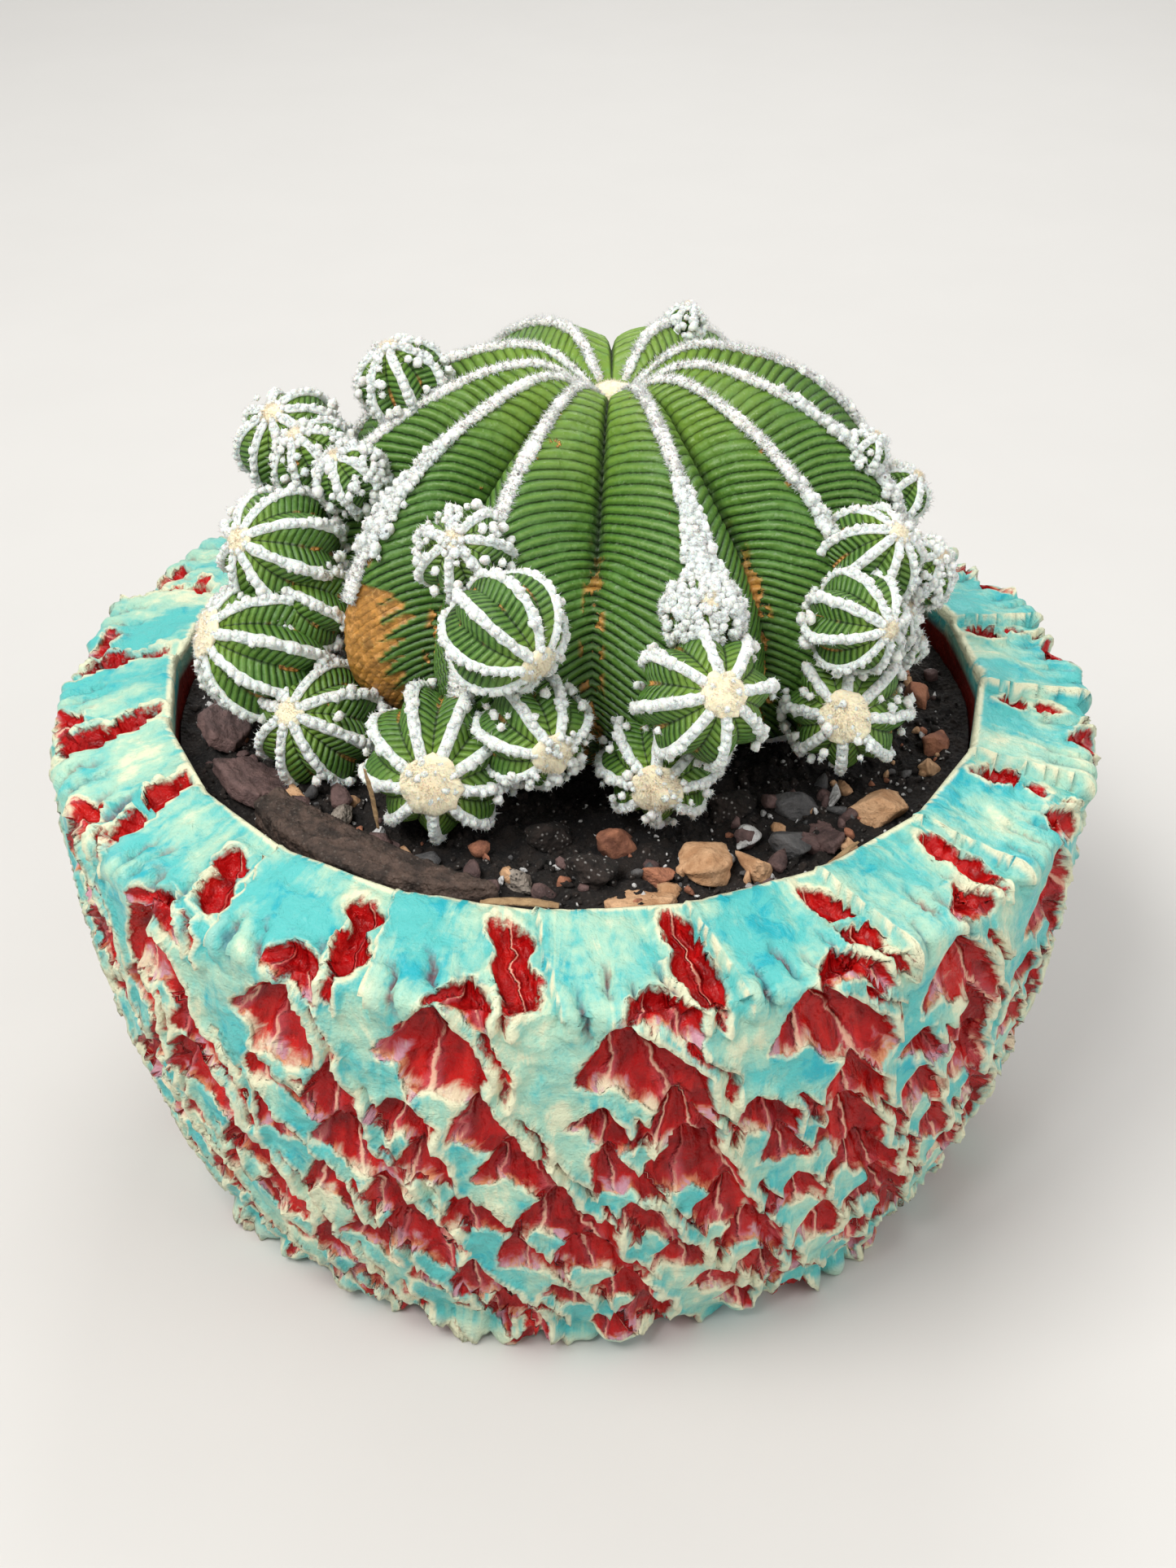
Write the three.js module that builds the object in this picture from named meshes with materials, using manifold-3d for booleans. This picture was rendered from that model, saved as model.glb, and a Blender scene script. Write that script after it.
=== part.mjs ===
// A ribbed round cactus with its ring of offsets, growing in a carved ceramic bowl.
// Millimetres, +Z up. The origin is the middle of the bowl's underside.
// An azimuth of 0 degrees faces the front, -Y, and grows towards +X.
import * as THREE from 'three';
import { mergeVertices } from 'three/addons/utils/BufferGeometryUtils.js';
import Module from 'manifold-3d';

const wasm = await Module();
wasm.setup();

// ---- driving dimensions -------------------------------------------------------------------
const GAP = 0.3; // clearance between pieces that lie against each other
// A faceted solid is swollen by this many gaps, so that the middles of its flats still keep one gap.
const SWELL = { stem: 1.4, offset: 1.2, stone: 1.3 };
const WELD = 1e-4;

// Bowl: a drum-shaped wall whose rim turns inwards as a sloping band.
const POT_RADIUS = 85;
const POT_BASE_RADIUS = 62.3;
const RIM_OUTER_Z = 82.1;
const RIM_INNER_Z = 86.8;
const RIM_INNER_RADIUS = 65.6;
const WALL_BEND = 1.77;
const WALL_SQUARENESS = 1.68;
const WALL_THICKNESS = 9.5;
const WALL_STEPS = 9;
const WALL_CROWDING = 1.4; // above 1 the wall's rows crowd towards the rim
const WALL_FIRST_RISE = 0.015; // share of the height where the wall starts, above the foot's edge
const RIM_ROUNDING = { across: 1.6, down: 1.2, up: 0.4 };
const POT_SEGMENTS = 48;
const FOOT_WIDTH = 9;
const FOOT_HEIGHT = 5;
const FOOT_TAPER = 2; // how much narrower the recess is at its top
const FOOT_EDGE = 1;
const FLOOR_Z = 12;
const FLOOR_CORNER = { out: 4, up: 6 }; // slope between the inside of the wall and the floor
const DRAIN_RADIUS = 8;
const LIP_UNDERSIDE_Z = 74;

// Mesh over the drain hole.
const DRAIN_MESH_RADIUS = 15;
const DRAIN_MESH_SIDES = 16;
const DRAIN_MESH_THICKNESS = 0.8;
const DRAIN_MESH_PITCH = 5;
const DRAIN_MESH_HOLE = 2.4;
const DRAIN_MESH_REACH = 2; // holes on each side of the middle one

// Soil surface.
const SOIL_EDGE_Z = 79.5;
const SOIL_MOUND = 2;
const SOIL_MOUND_RADIUS = 64;
const SOIL_RINGS = [48, 30];
const SOIL_SEGMENTS = 48;

// Mother stem: a flattened dome with a sunken crown, waisted where it meets the soil.
const STEM_CENTRE = new THREE.Vector3(6, 9, 101);
const STEM_RADIUS = 50;
const STEM_TOP = 38.5;
const STEM_BELOW = 26;
const CROWN_DIP = 8.5;
const CROWN_DIP_RADIUS = 8.2;
const NECK_ANGLE = 68;
const ROOT_TIP_Z = 40;
const FURROW_DEPTH = 8.5;
const FURROW_ROUNDING = 1.35;
const FURROW_FULL_AT = 0.75; // share of the stem's radius where a furrow reaches its full depth
// The ribs are spaced unevenly; each entry is the azimuth of one crest.
const STEM_RIBS = [-150, -112, -82, -56, -27, 18, 50, 80, 112, 150];
const STEM_ROWS = { crown: 9, flank: 5, root: 3 };
const STEM_HALF_COLUMNS = 2; // columns between a crest and its furrow

// Offsets: where each little plant's middle is, its radius, where its crown points
// (azimuth, elevation), and its number of ribs.
const OFFSET_HEIGHT = 0.92;
const OFFSET_FURROW = 0.17;
const OFFSET_ROWS = 8;
const OFFSETS = [
  { name: 'left_offset_low', at: [-49, -12, 97.5], radius: 11.3, crown: [-71, 25], ribs: 9 },
  { name: 'left_offset_at_soil', at: [-40, -20, 88], radius: 10.2, crown: [-35, 40], ribs: 8 },
  { name: 'left_offset_middle', at: [-46, -5.5, 111.5], radius: 9.9, crown: [-50, 30], ribs: 8 },
  { name: 'left_offset_high', at: [-46, 16, 119.5], radius: 9, crown: [-40, 60], ribs: 8 },
  { name: 'left_offset_inner_high', at: [-41, 6, 121], radius: 7, crown: [-70, 60], ribs: 7 },
  { name: 'left_offset_inner_low', at: [-42, -9, 104], radius: 8, crown: [-60, 40], ribs: 7 },
  { name: 'left_offset_bud', at: [-34.5, -3.5, 123], radius: 5.5, crown: [-71, 59], ribs: 6 },
  { name: 'left_offset_shoulder', at: [-27, 11, 132.5], radius: 7.2, crown: [-90, 70], ribs: 7 },
  { name: 'front_left_offset_top', at: [-16, -28, 122.7], radius: 7.1, crown: [-17, 47], ribs: 7 },
  { name: 'front_left_offset_middle', at: [-10, -39.5, 116.3], radius: 9.1, crown: [41, -14], ribs: 8 },
  { name: 'front_left_offset_low', at: [-6, -40, 99.5], radius: 8.4, crown: [25, 3], ribs: 7 },
  { name: 'front_left_offset_at_soil', at: [-20, -37, 92.5], radius: 11.7, crown: [-5, 12], ribs: 9 },
  { name: 'front_offset_bud', at: [19, -36, 117], radius: 5.9, crown: [15, 52], ribs: 6 },
  { name: 'front_offset_star', at: [19, -43, 107.5], radius: 10.1, crown: [18, 32], ribs: 8 },
  { name: 'front_offset_at_soil', at: [13, -38, 92.5], radius: 9, crown: [-5, 6], ribs: 8 },
  { name: 'right_offset_high', at: [45, -19, 117.5], radius: 7.8, crown: [54, 51], ribs: 8 },
  { name: 'right_offset_outer', at: [53, -13.5, 112], radius: 5.8, crown: [63, 45], ribs: 6 },
  { name: 'right_offset_inner', at: [47, -17, 106], radius: 6.5, crown: [60, 30], ribs: 7 },
  { name: 'right_offset_middle', at: [42, -30, 112.6], radius: 7.7, crown: [40, 14], ribs: 8 },
  { name: 'right_offset_low', at: [42, -26.5, 95.5], radius: 9.7, crown: [-8, 21], ribs: 8 },
  { name: 'right_offset_bud_low', at: [52, -17, 101], radius: 2.7, crown: [60, 33], ribs: 6 },
  { name: 'right_offset_back', at: [52, 5, 116], radius: 4.7, crown: [84, 51], ribs: 6 },
  { name: 'right_offset_bud_high', at: [46, 3, 124.5], radius: 3.3, crown: [80, 61], ribs: 6 },
  { name: 'crown_bud', at: [18, 26, 136.6], radius: 2.8, crown: [150, 70], ribs: 6 },
];

// Loose pieces on the soil: middle (x, y), half sizes along, across and up, and turn in degrees.
const STONE_SINK = 0.35; // share of a stone's half height that lies below the soil surface
const STONE_ROUGHNESS = 0.16;
const STONE_FINE_FROM = 3.5; // a stone whose largest half size is above this has more facets
const STONES = [
  { name: 'stone_tan_large', kind: 'tan', at: [20, -49], half: [4.2, 5.2, 4.0], turn: 10 },
  { name: 'stone_tan_step', kind: 'tan', at: [27.6, -49.5], half: [2.6, 4.2, 2.8], turn: 32 },
  { name: 'stone_tan_oval', kind: 'rust', at: [6, -43.5], half: [4.2, 2.9, 3.1], turn: -38 },
  { name: 'stone_tan_wedge', kind: 'tan', at: [47, -34], half: [5.2, 3.4, 3.4], turn: 30 },
  { name: 'stone_tan_bead', kind: 'tan', at: [42, -43], half: [1.7, 1.6, 1.6], turn: 0 },
  { name: 'stone_tan_side', kind: 'tan', at: [56, -21], half: [3.2, 2.5, 2.4], turn: 60 },
  { name: 'stone_red_front', kind: 'rust', at: [12.5, -50.5], half: [3.0, 2.2, 2.2], turn: -10 },
  { name: 'stone_red_side', kind: 'rust', at: [58.5, -13], half: [3.2, 2.4, 2.6], turn: 80 },
  { name: 'stone_red_back', kind: 'rust', at: [57, 1], half: [3.4, 2.6, 2.6], turn: 95 },
  { name: 'stone_rust_behind', kind: 'rust', at: [57, 22], half: [2.6, 2.4, 2.2], turn: 20 },
  { name: 'stone_grey_round', kind: 'grey', at: [33.5, -33.5], half: [4.4, 3.6, 3.2], turn: 20 },
  { name: 'stone_grey_wedge', kind: 'grey', at: [33, -42.5], half: [3.9, 2.7, 3.0], turn: -48 },
  { name: 'stone_grey_left', kind: 'grey', at: [-22.5, -46.5], half: [3.0, 2.0, 1.7], turn: 15 },
  { name: 'stone_grey_behind', kind: 'grey', at: [-54, 24], half: [3.4, 2.6, 2.4], turn: 50 },
  { name: 'stone_tan_behind', kind: 'tan', at: [-38, 48], half: [3.0, 2.4, 2.2], turn: -30 },
  { name: 'stone_speckled_front', kind: 'pumice', at: [-8.6, -51.2], half: [2.7, 2.6, 2.9], turn: 0 },
  { name: 'stone_speckled_left', kind: 'pumice', at: [-35, -35], half: [3.6, 2.4, 2.2], turn: -40 },
  { name: 'perlite_right', kind: 'perlite', at: [40, -31], half: [1.8, 3.2, 2.2], turn: -12 },
  { name: 'perlite_middle', kind: 'perlite', at: [26.5, -40], half: [2.4, 2.6, 2.1], turn: 25 },
  { name: 'perlite_left', kind: 'perlite', at: [-29.5, -39.5], half: [1.7, 1.6, 1.6], turn: 0 },
  { name: 'clod_front_left', kind: 'clod', at: [-4.5, -42], half: [4.4, 3.8, 3.0], turn: 20 },
  { name: 'clod_front', kind: 'clod', at: [2.6, -50.4], half: [4.4, 4.0, 3.2], turn: -20 },
  { name: 'clod_right', kind: 'clod', at: [24.5, -32.5], half: [3.8, 3.4, 2.8], turn: 0 },
];

// Flat pieces: an outline in the ground plane (x, y), thickness, and tilt outwards in degrees.
const FLAKES = [
  { name: 'slate_chip_left', kind: 'bark', tilt: 24, lift: 2.2, thickness: 2.4,
    outline: [[-61.5, -11], [-59, -5.5], [-54.2, -5], [-52.6, -10.5], [-54.5, -17], [-58.5, -17]] },
  { name: 'bark_chip_left', kind: 'bark', tilt: 14, lift: 1.0, thickness: 2.6,
    outline: [[-57.5, -22.5], [-52, -19.5], [-46.2, -22.8], [-44.4, -27.5], [-49.5, -31.8], [-54, -29]] },
  { name: 'stone_flake_tan', kind: 'tan', tilt: 10, lift: 0.6, thickness: 1.8,
    outline: [[4.6, -57.2], [8.0, -53.6], [12, -54.6], [15.4, -55.6], [13.4, -60.4], [7, -61.2]] },
  { name: 'stone_shard_tan', kind: 'tan', tilt: -10, lift: 0.9, thickness: 1.4,
    outline: [[-46.6, -27.2], [-44.2, -26.4], [-41.6, -30.6], [-43.6, -31.8]] },
  { name: 'bark_chip_right', kind: 'bark', tilt: 16, lift: 0.8, thickness: 1.5,
    outline: [[36.2, -36.2], [38.4, -35.6], [41.4, -41.2], [39.2, -45.8], [36.6, -42.6]] },
  { name: 'bark_chip_back', kind: 'bark', tilt: 8, lift: 0.7, thickness: 1.6,
    outline: [[-14, 60.4], [-6, 63], [3, 62.6], [2, 60.8], [-7, 60.6]] },
];
const BARK_STRIP = {
  inner: 53.6, outer: 62, from: -56, to: -12, steps: 5, thickness: 4.5, lift: 1.8,
  widestAt: 0.4, taper: 2.4, skew: 1.5,
};

// ---- small helpers ------------------------------------------------------------------------
const radians = THREE.MathUtils.degToRad;

/** A point at an azimuth and radius around the bowl's axis, as [x, y]. */
const around = (azimuth, radius) => [
  radius * Math.sin(radians(azimuth)),
  -radius * Math.cos(radians(azimuth)),
];

/** Shared vertices joined, and the slivers left on an axis removed. */
function weld(geometry) {
  const bare = geometry.clone();
  bare.deleteAttribute('normal');
  bare.deleteAttribute('uv');
  const merged = mergeVertices(bare, WELD);
  const kept = [];
  for (let i = 0; i < merged.index.count; i += 3) {
    const [a, b, c] = [0, 1, 2].map((k) => merged.index.getX(i + k));
    if (a !== b && b !== c && a !== c) kept.push(a, b, c);
  }
  merged.setIndex(kept);
  return merged;
}

function toSolid(geometry) {
  const merged = weld(geometry);
  return new wasm.Manifold(new wasm.Mesh({
    numProp: 3,
    vertProperties: new Float32Array(merged.attributes.position.array),
    triVerts: new Uint32Array(merged.index.array),
  }));
}

function toGeometry(solid) {
  const mesh = solid.getMesh();
  const geometry = new THREE.BufferGeometry();
  geometry.setAttribute('position', new THREE.BufferAttribute(mesh.vertProperties, 3));
  geometry.setIndex(new THREE.BufferAttribute(mesh.triVerts, 1));
  return geometry;
}

/** A profile of [radius, height] pairs turned about the vertical axis. */
function turned(profile, segments) {
  const points = profile.map(([r, z]) => new THREE.Vector2(r, z));
  return new THREE.LatheGeometry(points, segments).rotateX(Math.PI / 2);
}

// ---- bowl ---------------------------------------------------------------------------------
/** Outside radius of the bowl's wall at a height. */
function wallRadius(z) {
  const drop = 1 - z / RIM_OUTER_Z;
  const swell = (1 - drop ** WALL_BEND) ** (1 / WALL_SQUARENESS);
  return POT_BASE_RADIUS + (POT_RADIUS - POT_BASE_RADIUS) * swell;
}

/** The inside of the bowl from under the lip down to the floor, as [radius, height] pairs. */
function innerWall(clearance) {
  const points = [];
  for (let i = 0; i <= WALL_STEPS; i += 1) {
    const z = LIP_UNDERSIDE_Z - (LIP_UNDERSIDE_Z - FLOOR_Z - FLOOR_CORNER.up) * (i / WALL_STEPS);
    const pull = Math.min(1, i / 2);
    const under = wallRadius(z) - WALL_THICKNESS;
    points.push([RIM_INNER_RADIUS + (under - RIM_INNER_RADIUS) * pull - clearance, z]);
  }
  points.push([POT_BASE_RADIUS - WALL_THICKNESS - FLOOR_CORNER.out - clearance, FLOOR_Z + clearance]);
  return points;
}

function potGeometry() {
  const foot = POT_BASE_RADIUS - FOOT_WIDTH;
  const { across, down, up } = RIM_ROUNDING;
  const profile = [[DRAIN_RADIUS, FLOOR_Z], [DRAIN_RADIUS, FOOT_HEIGHT]];
  profile.push([foot - FOOT_TAPER, FOOT_HEIGHT], [foot, 0], [POT_BASE_RADIUS - FOOT_EDGE, 0]);
  for (let i = 0; i <= WALL_STEPS; i += 1) {
    const rise = Math.max(WALL_FIRST_RISE, 1 - (1 - i / WALL_STEPS) ** WALL_CROWDING);
    const z = RIM_OUTER_Z * rise - (i === WALL_STEPS ? down : 0);
    profile.push([wallRadius(z), z]);
  }
  profile.push([POT_RADIUS - across, RIM_OUTER_Z + up]);
  profile.push([RIM_INNER_RADIUS + across, RIM_INNER_Z], [RIM_INNER_RADIUS, RIM_INNER_Z - down]);
  profile.push(...innerWall(0));
  profile.push([DRAIN_RADIUS, FLOOR_Z]);
  return weld(turned(profile, POT_SEGMENTS));
}

/** A thin disc with a grid of square holes that keeps the soil from the drain hole. */
function drainMeshGeometry() {
  const side = DRAIN_MESH_HOLE;
  const disc = new THREE.CylinderGeometry(
    DRAIN_MESH_RADIUS, DRAIN_MESH_RADIUS, DRAIN_MESH_THICKNESS, DRAIN_MESH_SIDES,
  );
  let solid = toSolid(disc.rotateX(Math.PI / 2));
  for (let i = -DRAIN_MESH_REACH; i <= DRAIN_MESH_REACH; i += 1) {
    for (let j = -DRAIN_MESH_REACH; j <= DRAIN_MESH_REACH; j += 1) {
      const [x, y] = [i * DRAIN_MESH_PITCH, j * DRAIN_MESH_PITCH];
      if (Math.hypot(x, y) > DRAIN_MESH_RADIUS - DRAIN_MESH_PITCH / 2) continue;
      const hole = new THREE.BoxGeometry(side, side, 2 * DRAIN_MESH_THICKNESS).translate(x, y, 0);
      solid = solid.subtract(toSolid(hole));
    }
  }
  return toGeometry(solid);
}

/** Height of the soil surface at a distance from the bowl's axis. */
function soilHeight(radius) {
  const outward = Math.min(1, radius / SOIL_MOUND_RADIUS);
  return SOIL_EDGE_Z + SOIL_MOUND * Math.cos((Math.PI / 2) * outward);
}

function soilGeometry() {
  const lid = DRAIN_MESH_THICKNESS + 2 * GAP;
  const floor = FLOOR_Z + GAP;
  const lidRadius = DRAIN_MESH_RADIUS + GAP;
  const bottom = [[0, FLOOR_Z + lid], [lidRadius, FLOOR_Z + lid], [lidRadius, floor]];
  const side = innerWall(GAP).reverse();
  const edge = RIM_INNER_RADIUS - GAP;
  const top = [edge, ...SOIL_RINGS, 0].map((radius) => [radius, soilHeight(radius)]);
  return turned([...bottom, ...side, ...top], SOIL_SEGMENTS);
}

// ---- ribbed bodies ------------------------------------------------------------------------
/**
 * A closed body of revolution whose columns follow crests and furrows in turn.
 * crests lists the crest azimuths in degrees; halfColumns is how many columns lie between a
 * crest and its furrow; pointAt(row, phase) gives [radius, height], with phase 0 on a crest
 * and 1 in a furrow. The first and last rows lie on the axis.
 */
function ribbedGeometry(crests, halfColumns, rows, pointAt) {
  const perRib = 2 * halfColumns;
  const columns = crests.length * perRib;
  const placeholder = Array.from({ length: rows + 1 }, (_, j) => [1, j]);
  const geometry = turned(placeholder, columns);
  const position = geometry.attributes.position;
  for (let i = 0; i <= columns; i += 1) {
    const rib = Math.floor(i / perRib) % crests.length;
    const along = (i % perRib) / perRib;
    const next = crests[(rib + 1) % crests.length] + (rib + 1 === crests.length ? 360 : 0);
    const azimuth = crests[rib] + (next - crests[rib]) * along;
    const phase = 1 - Math.abs(1 - 2 * along);
    for (let j = 0; j <= rows; j += 1) {
      const [radius, height] = pointAt(j, phase);
      const [x, y] = around(azimuth, j === 0 || j === rows ? 0 : radius);
      position.setXYZ(i * (rows + 1) + rows - j, x, y, height);
    }
  }
  return geometry;
}

/** The mother stem's crest line and outward direction at a row, from the crown to the root tip. */
function stemCrest(row) {
  const { crown, flank, root } = STEM_ROWS;
  if (row <= crown) {
    const angle = (Math.PI / 2) * (row / crown);
    const radius = STEM_RADIUS * Math.sin(angle);
    const dip = CROWN_DIP * Math.exp(-((radius / CROWN_DIP_RADIUS) ** 2));
    return { radius, height: STEM_TOP * Math.cos(angle) - dip, out: [Math.sin(angle), Math.cos(angle)] };
  }
  const angle = radians(NECK_ANGLE) * Math.min(1, (row - crown) / flank);
  const neck = { radius: STEM_RADIUS * Math.cos(angle), height: -STEM_BELOW * Math.sin(angle) };
  const out = [Math.cos(angle), -Math.sin(angle)];
  if (row <= crown + flank) return { ...neck, out };
  const taper = (row - crown - flank) / root;
  const tip = ROOT_TIP_Z - STEM_CENTRE.z;
  return { radius: neck.radius * (1 - taper), height: neck.height + (tip - neck.height) * taper, out };
}

/** How deep the furrows cut at a row: shallow at the crown, deepest on the flank, none below. */
function furrowAt(row, radius) {
  const { crown, flank } = STEM_ROWS;
  const opening = THREE.MathUtils.smoothstep(radius, 0, STEM_RADIUS * FURROW_FULL_AT);
  const closing = 1 - THREE.MathUtils.smoothstep(row, crown + 1, crown + flank);
  return FURROW_DEPTH * opening * closing;
}

function stemGeometry(grow) {
  const rows = STEM_ROWS.crown + STEM_ROWS.flank + STEM_ROWS.root;
  const pointAt = (row, phase) => {
    const { radius, height, out } = stemCrest(row);
    const offset = grow - furrowAt(row, radius) * phase ** FURROW_ROUNDING;
    return [Math.max(0, radius + offset * out[0]), height + offset * out[1]];
  };
  return ribbedGeometry(STEM_RIBS, STEM_HALF_COLUMNS, rows, pointAt).translate(...STEM_CENTRE.toArray());
}

function offsetGeometry({ at, radius, crown, ribs }, grow) {
  const crests = Array.from({ length: ribs }, (_, i) => (360 / ribs) * i - 180);
  const pointAt = (row, phase) => {
    const angle = Math.PI * (row / OFFSET_ROWS);
    const reach = radius * (1 - OFFSET_FURROW * phase * Math.sin(angle)) + grow;
    return [reach * Math.sin(angle), OFFSET_HEIGHT * reach * Math.cos(angle)];
  };
  const geometry = ribbedGeometry(crests, 1, OFFSET_ROWS, pointAt);
  geometry.rotateX(radians(90 - crown[1])).rotateZ(radians(crown[0]));
  return geometry.translate(...at);
}

// ---- loose pieces on the soil -------------------------------------------------------------
const HASH = { seed: 12.9898, counter: 78.233, spread: 43758.5453 };

/** A repeatable number from 0 to 1 for a seed and a counter: the tail of a widely spread sine. */
function noise(seed, counter) {
  const value = Math.sin(seed * HASH.seed + counter * HASH.counter) * HASH.spread;
  return value - Math.floor(value);
}

/** A lump with a faceted, uneven surface. */
function stoneGeometry({ at, half, turn }, seed, grow) {
  const detail = Math.max(...half) > STONE_FINE_FROM ? 1 : 0;
  const geometry = weld(new THREE.IcosahedronGeometry(1, detail));
  const position = geometry.attributes.position;
  for (let i = 0; i < position.count; i += 1) {
    const swell = 1 + STONE_ROUGHNESS * (2 * noise(seed, i) - 1);
    const point = new THREE.Vector3().fromBufferAttribute(position, i).multiplyScalar(swell);
    position.setXYZ(i, ...point.multiply(new THREE.Vector3(...half.map((h) => h + grow))).toArray());
  }
  const height = soilHeight(Math.hypot(...at)) + half[2] * (1 - 2 * STONE_SINK);
  return geometry.rotateZ(radians(turn)).translate(at[0], at[1], height);
}

/** A flat outline given thickness, tipped about its own middle and laid on the soil. */
function flakeGeometry({ outline, thickness, tilt, lift }, grow) {
  const middle = [0, 1].map((k) => outline.reduce((sum, p) => sum + p[k], 0) / outline.length);
  const distance = Math.hypot(...middle);
  const points = outline.map((p) => {
    const arm = new THREE.Vector2(p[0] - middle[0], p[1] - middle[1]);
    return arm.setLength(arm.length() + grow);
  });
  const depth = thickness + 2 * grow;
  const geometry = new THREE.ExtrudeGeometry(new THREE.Shape(points), { depth, bevelEnabled: false });
  const tipAxis = new THREE.Vector3(-middle[1], middle[0], 0).normalize();
  geometry.translate(0, 0, -depth / 2);
  geometry.applyMatrix4(new THREE.Matrix4().makeRotationAxis(tipAxis, radians(-tilt)));
  return geometry.translate(middle[0], middle[1], soilHeight(distance) + lift);
}

/** The long strip of bark that follows the inside of the rim, narrowing to one end. */
function barkStrip() {
  const { inner, outer, from, to, steps, thickness, lift, widestAt, taper, skew } = BARK_STRIP;
  const middle = (inner + outer) / 2;
  const near = [];
  const far = [];
  for (let i = 0; i <= steps; i += 1) {
    const azimuth = from + (to - from) * (i / steps);
    const halfWidth = ((outer - inner) / 2) * (1 - taper * (i / steps - widestAt) ** 2);
    near.push(around(azimuth, middle - halfWidth));
    far.push(around(azimuth + skew, middle + halfWidth));
  }
  return { name: 'bark_strip', kind: 'bark', tilt: 0, lift, thickness, outline: [...near, ...far.reverse()] };
}

// ---- materials ----------------------------------------------------------------------------
const LOOKS = {
  glaze: { color: '#5ec4c2', roughness: 0.25 },
  mesh: { color: '#2b2d2b', roughness: 0.6 },
  soil: { color: '#1d1613', roughness: 1 },
  stem: { color: '#3f6d2b', roughness: 0.6 },
  offset: { color: '#6f8f52', roughness: 0.7 },
  tan: { color: '#c39b73', roughness: 0.85 },
  rust: { color: '#8d5945', roughness: 0.85 },
  grey: { color: '#6d6a69', roughness: 0.8 },
  pumice: { color: '#9c9186', roughness: 0.95 },
  perlite: { color: '#e9e7e3', roughness: 0.9 },
  clod: { color: '#241b17', roughness: 1 },
  bark: { color: '#4a3931', roughness: 0.9 },
};

const plant = new THREE.Group();

function add(name, kind, geometry) {
  const mesh = new THREE.Mesh(geometry, new THREE.MeshStandardMaterial({ ...LOOKS[kind], metalness: 0 }));
  mesh.name = name;
  plant.add(mesh);
  return mesh;
}

// ---- assembly -----------------------------------------------------------------------------
add('pot', 'glaze', potGeometry());
add('drain_mesh', 'mesh', drainMeshGeometry()).position.z = FLOOR_Z + GAP + DRAIN_MESH_THICKNESS / 2;
add('cactus_stem', 'stem', weld(stemGeometry(0)));

// Everything placed so far above the soil, each swollen by the gap. A new piece is cut back to
// clear it, so an offset seats against the stem and a stone against its neighbour.
let occupied = toSolid(stemGeometry(GAP * SWELL.stem));

function seat(name, kind, solid, swollen) {
  add(name, kind, toGeometry(solid.subtract(occupied)));
  occupied = occupied.add(swollen);
}

for (const offset of OFFSETS) {
  const swollen = offsetGeometry(offset, GAP * SWELL.offset);
  seat(offset.name, 'offset', toSolid(offsetGeometry(offset, 0)), toSolid(swollen));
}
for (const flake of [barkStrip(), ...FLAKES]) {
  seat(flake.name, flake.kind, toSolid(flakeGeometry(flake, 0)), toSolid(flakeGeometry(flake, GAP)));
}
STONES.forEach((stone, seed) => {
  const swollen = stoneGeometry(stone, seed, GAP * SWELL.stone);
  seat(stone.name, stone.kind, toSolid(stoneGeometry(stone, seed, 0)), toSolid(swollen));
});
add('soil', 'soil', toGeometry(toSolid(soilGeometry()).subtract(occupied)));

export default plant;
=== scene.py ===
"""A ribbed round cactus with woolly offsets in a carved, glazed bowl.

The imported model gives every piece's place. This add-on models the fine surfaces over it: the torn and
glazed clay, the cross-ridged skin, the felt on the crests, the beads of wool and the grit on the soil.
Lengths inside the functions are millimetres; new_piece turns them into metres. An azimuth of 0 degrees
faces the front, -Y, and grows towards +X.
"""

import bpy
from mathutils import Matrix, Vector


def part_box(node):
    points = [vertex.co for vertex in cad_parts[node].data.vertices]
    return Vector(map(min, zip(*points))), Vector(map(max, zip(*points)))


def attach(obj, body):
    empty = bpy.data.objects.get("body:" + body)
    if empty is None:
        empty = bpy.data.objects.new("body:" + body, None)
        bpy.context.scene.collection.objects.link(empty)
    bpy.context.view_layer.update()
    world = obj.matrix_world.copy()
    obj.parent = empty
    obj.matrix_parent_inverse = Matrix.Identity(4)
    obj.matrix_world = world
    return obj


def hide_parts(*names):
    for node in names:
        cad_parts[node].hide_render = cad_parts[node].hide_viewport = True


bl_info = {
    "name": "Potted round cactus",
    "version": (1, 0, 0),
    "blender": (4, 5, 0),
    "location": "View3D > Sidebar > Cactus",
    "description": "Models the bowl, the plant and the gritty soil over the packed frame",
    "category": "Object",
}

import bpy
import numpy as np
from bpy.props import FloatProperty, FloatVectorProperty, IntProperty, PointerProperty
from mathutils import Euler

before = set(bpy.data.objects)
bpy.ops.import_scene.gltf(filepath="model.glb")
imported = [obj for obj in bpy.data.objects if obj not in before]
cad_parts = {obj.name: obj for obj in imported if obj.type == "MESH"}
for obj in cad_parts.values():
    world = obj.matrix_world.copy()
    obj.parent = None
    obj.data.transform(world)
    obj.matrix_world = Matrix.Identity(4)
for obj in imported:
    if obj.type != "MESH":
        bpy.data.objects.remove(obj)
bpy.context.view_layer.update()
MM = 0.001
BOWL_SEED, STEM_SEED, OFFSET_SEED, GROUND_SEED = 11, 5, 17, 23
# Rows and columns of the spheres that become wool tufts, cushions, stones, crumbs, specks and grit.
TUFT_MESH, PAD_MESH, STONE_MESH = (4, 7), (18, 28), (32, 46)
CRUMB_MESH, SPECK_MESH, GRIT_MESH = (4, 7), (4, 6), (6, 9)


# ---- whole-array helpers ---------------------------------------------------------------------
def smooth(x):
    """0 below 0, 1 above 1, and the cubic 3x^2 - 2x^3 between."""
    x = np.clip(x, 0.0, 1.0)
    return x * x * (3 - 2 * x)


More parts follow.
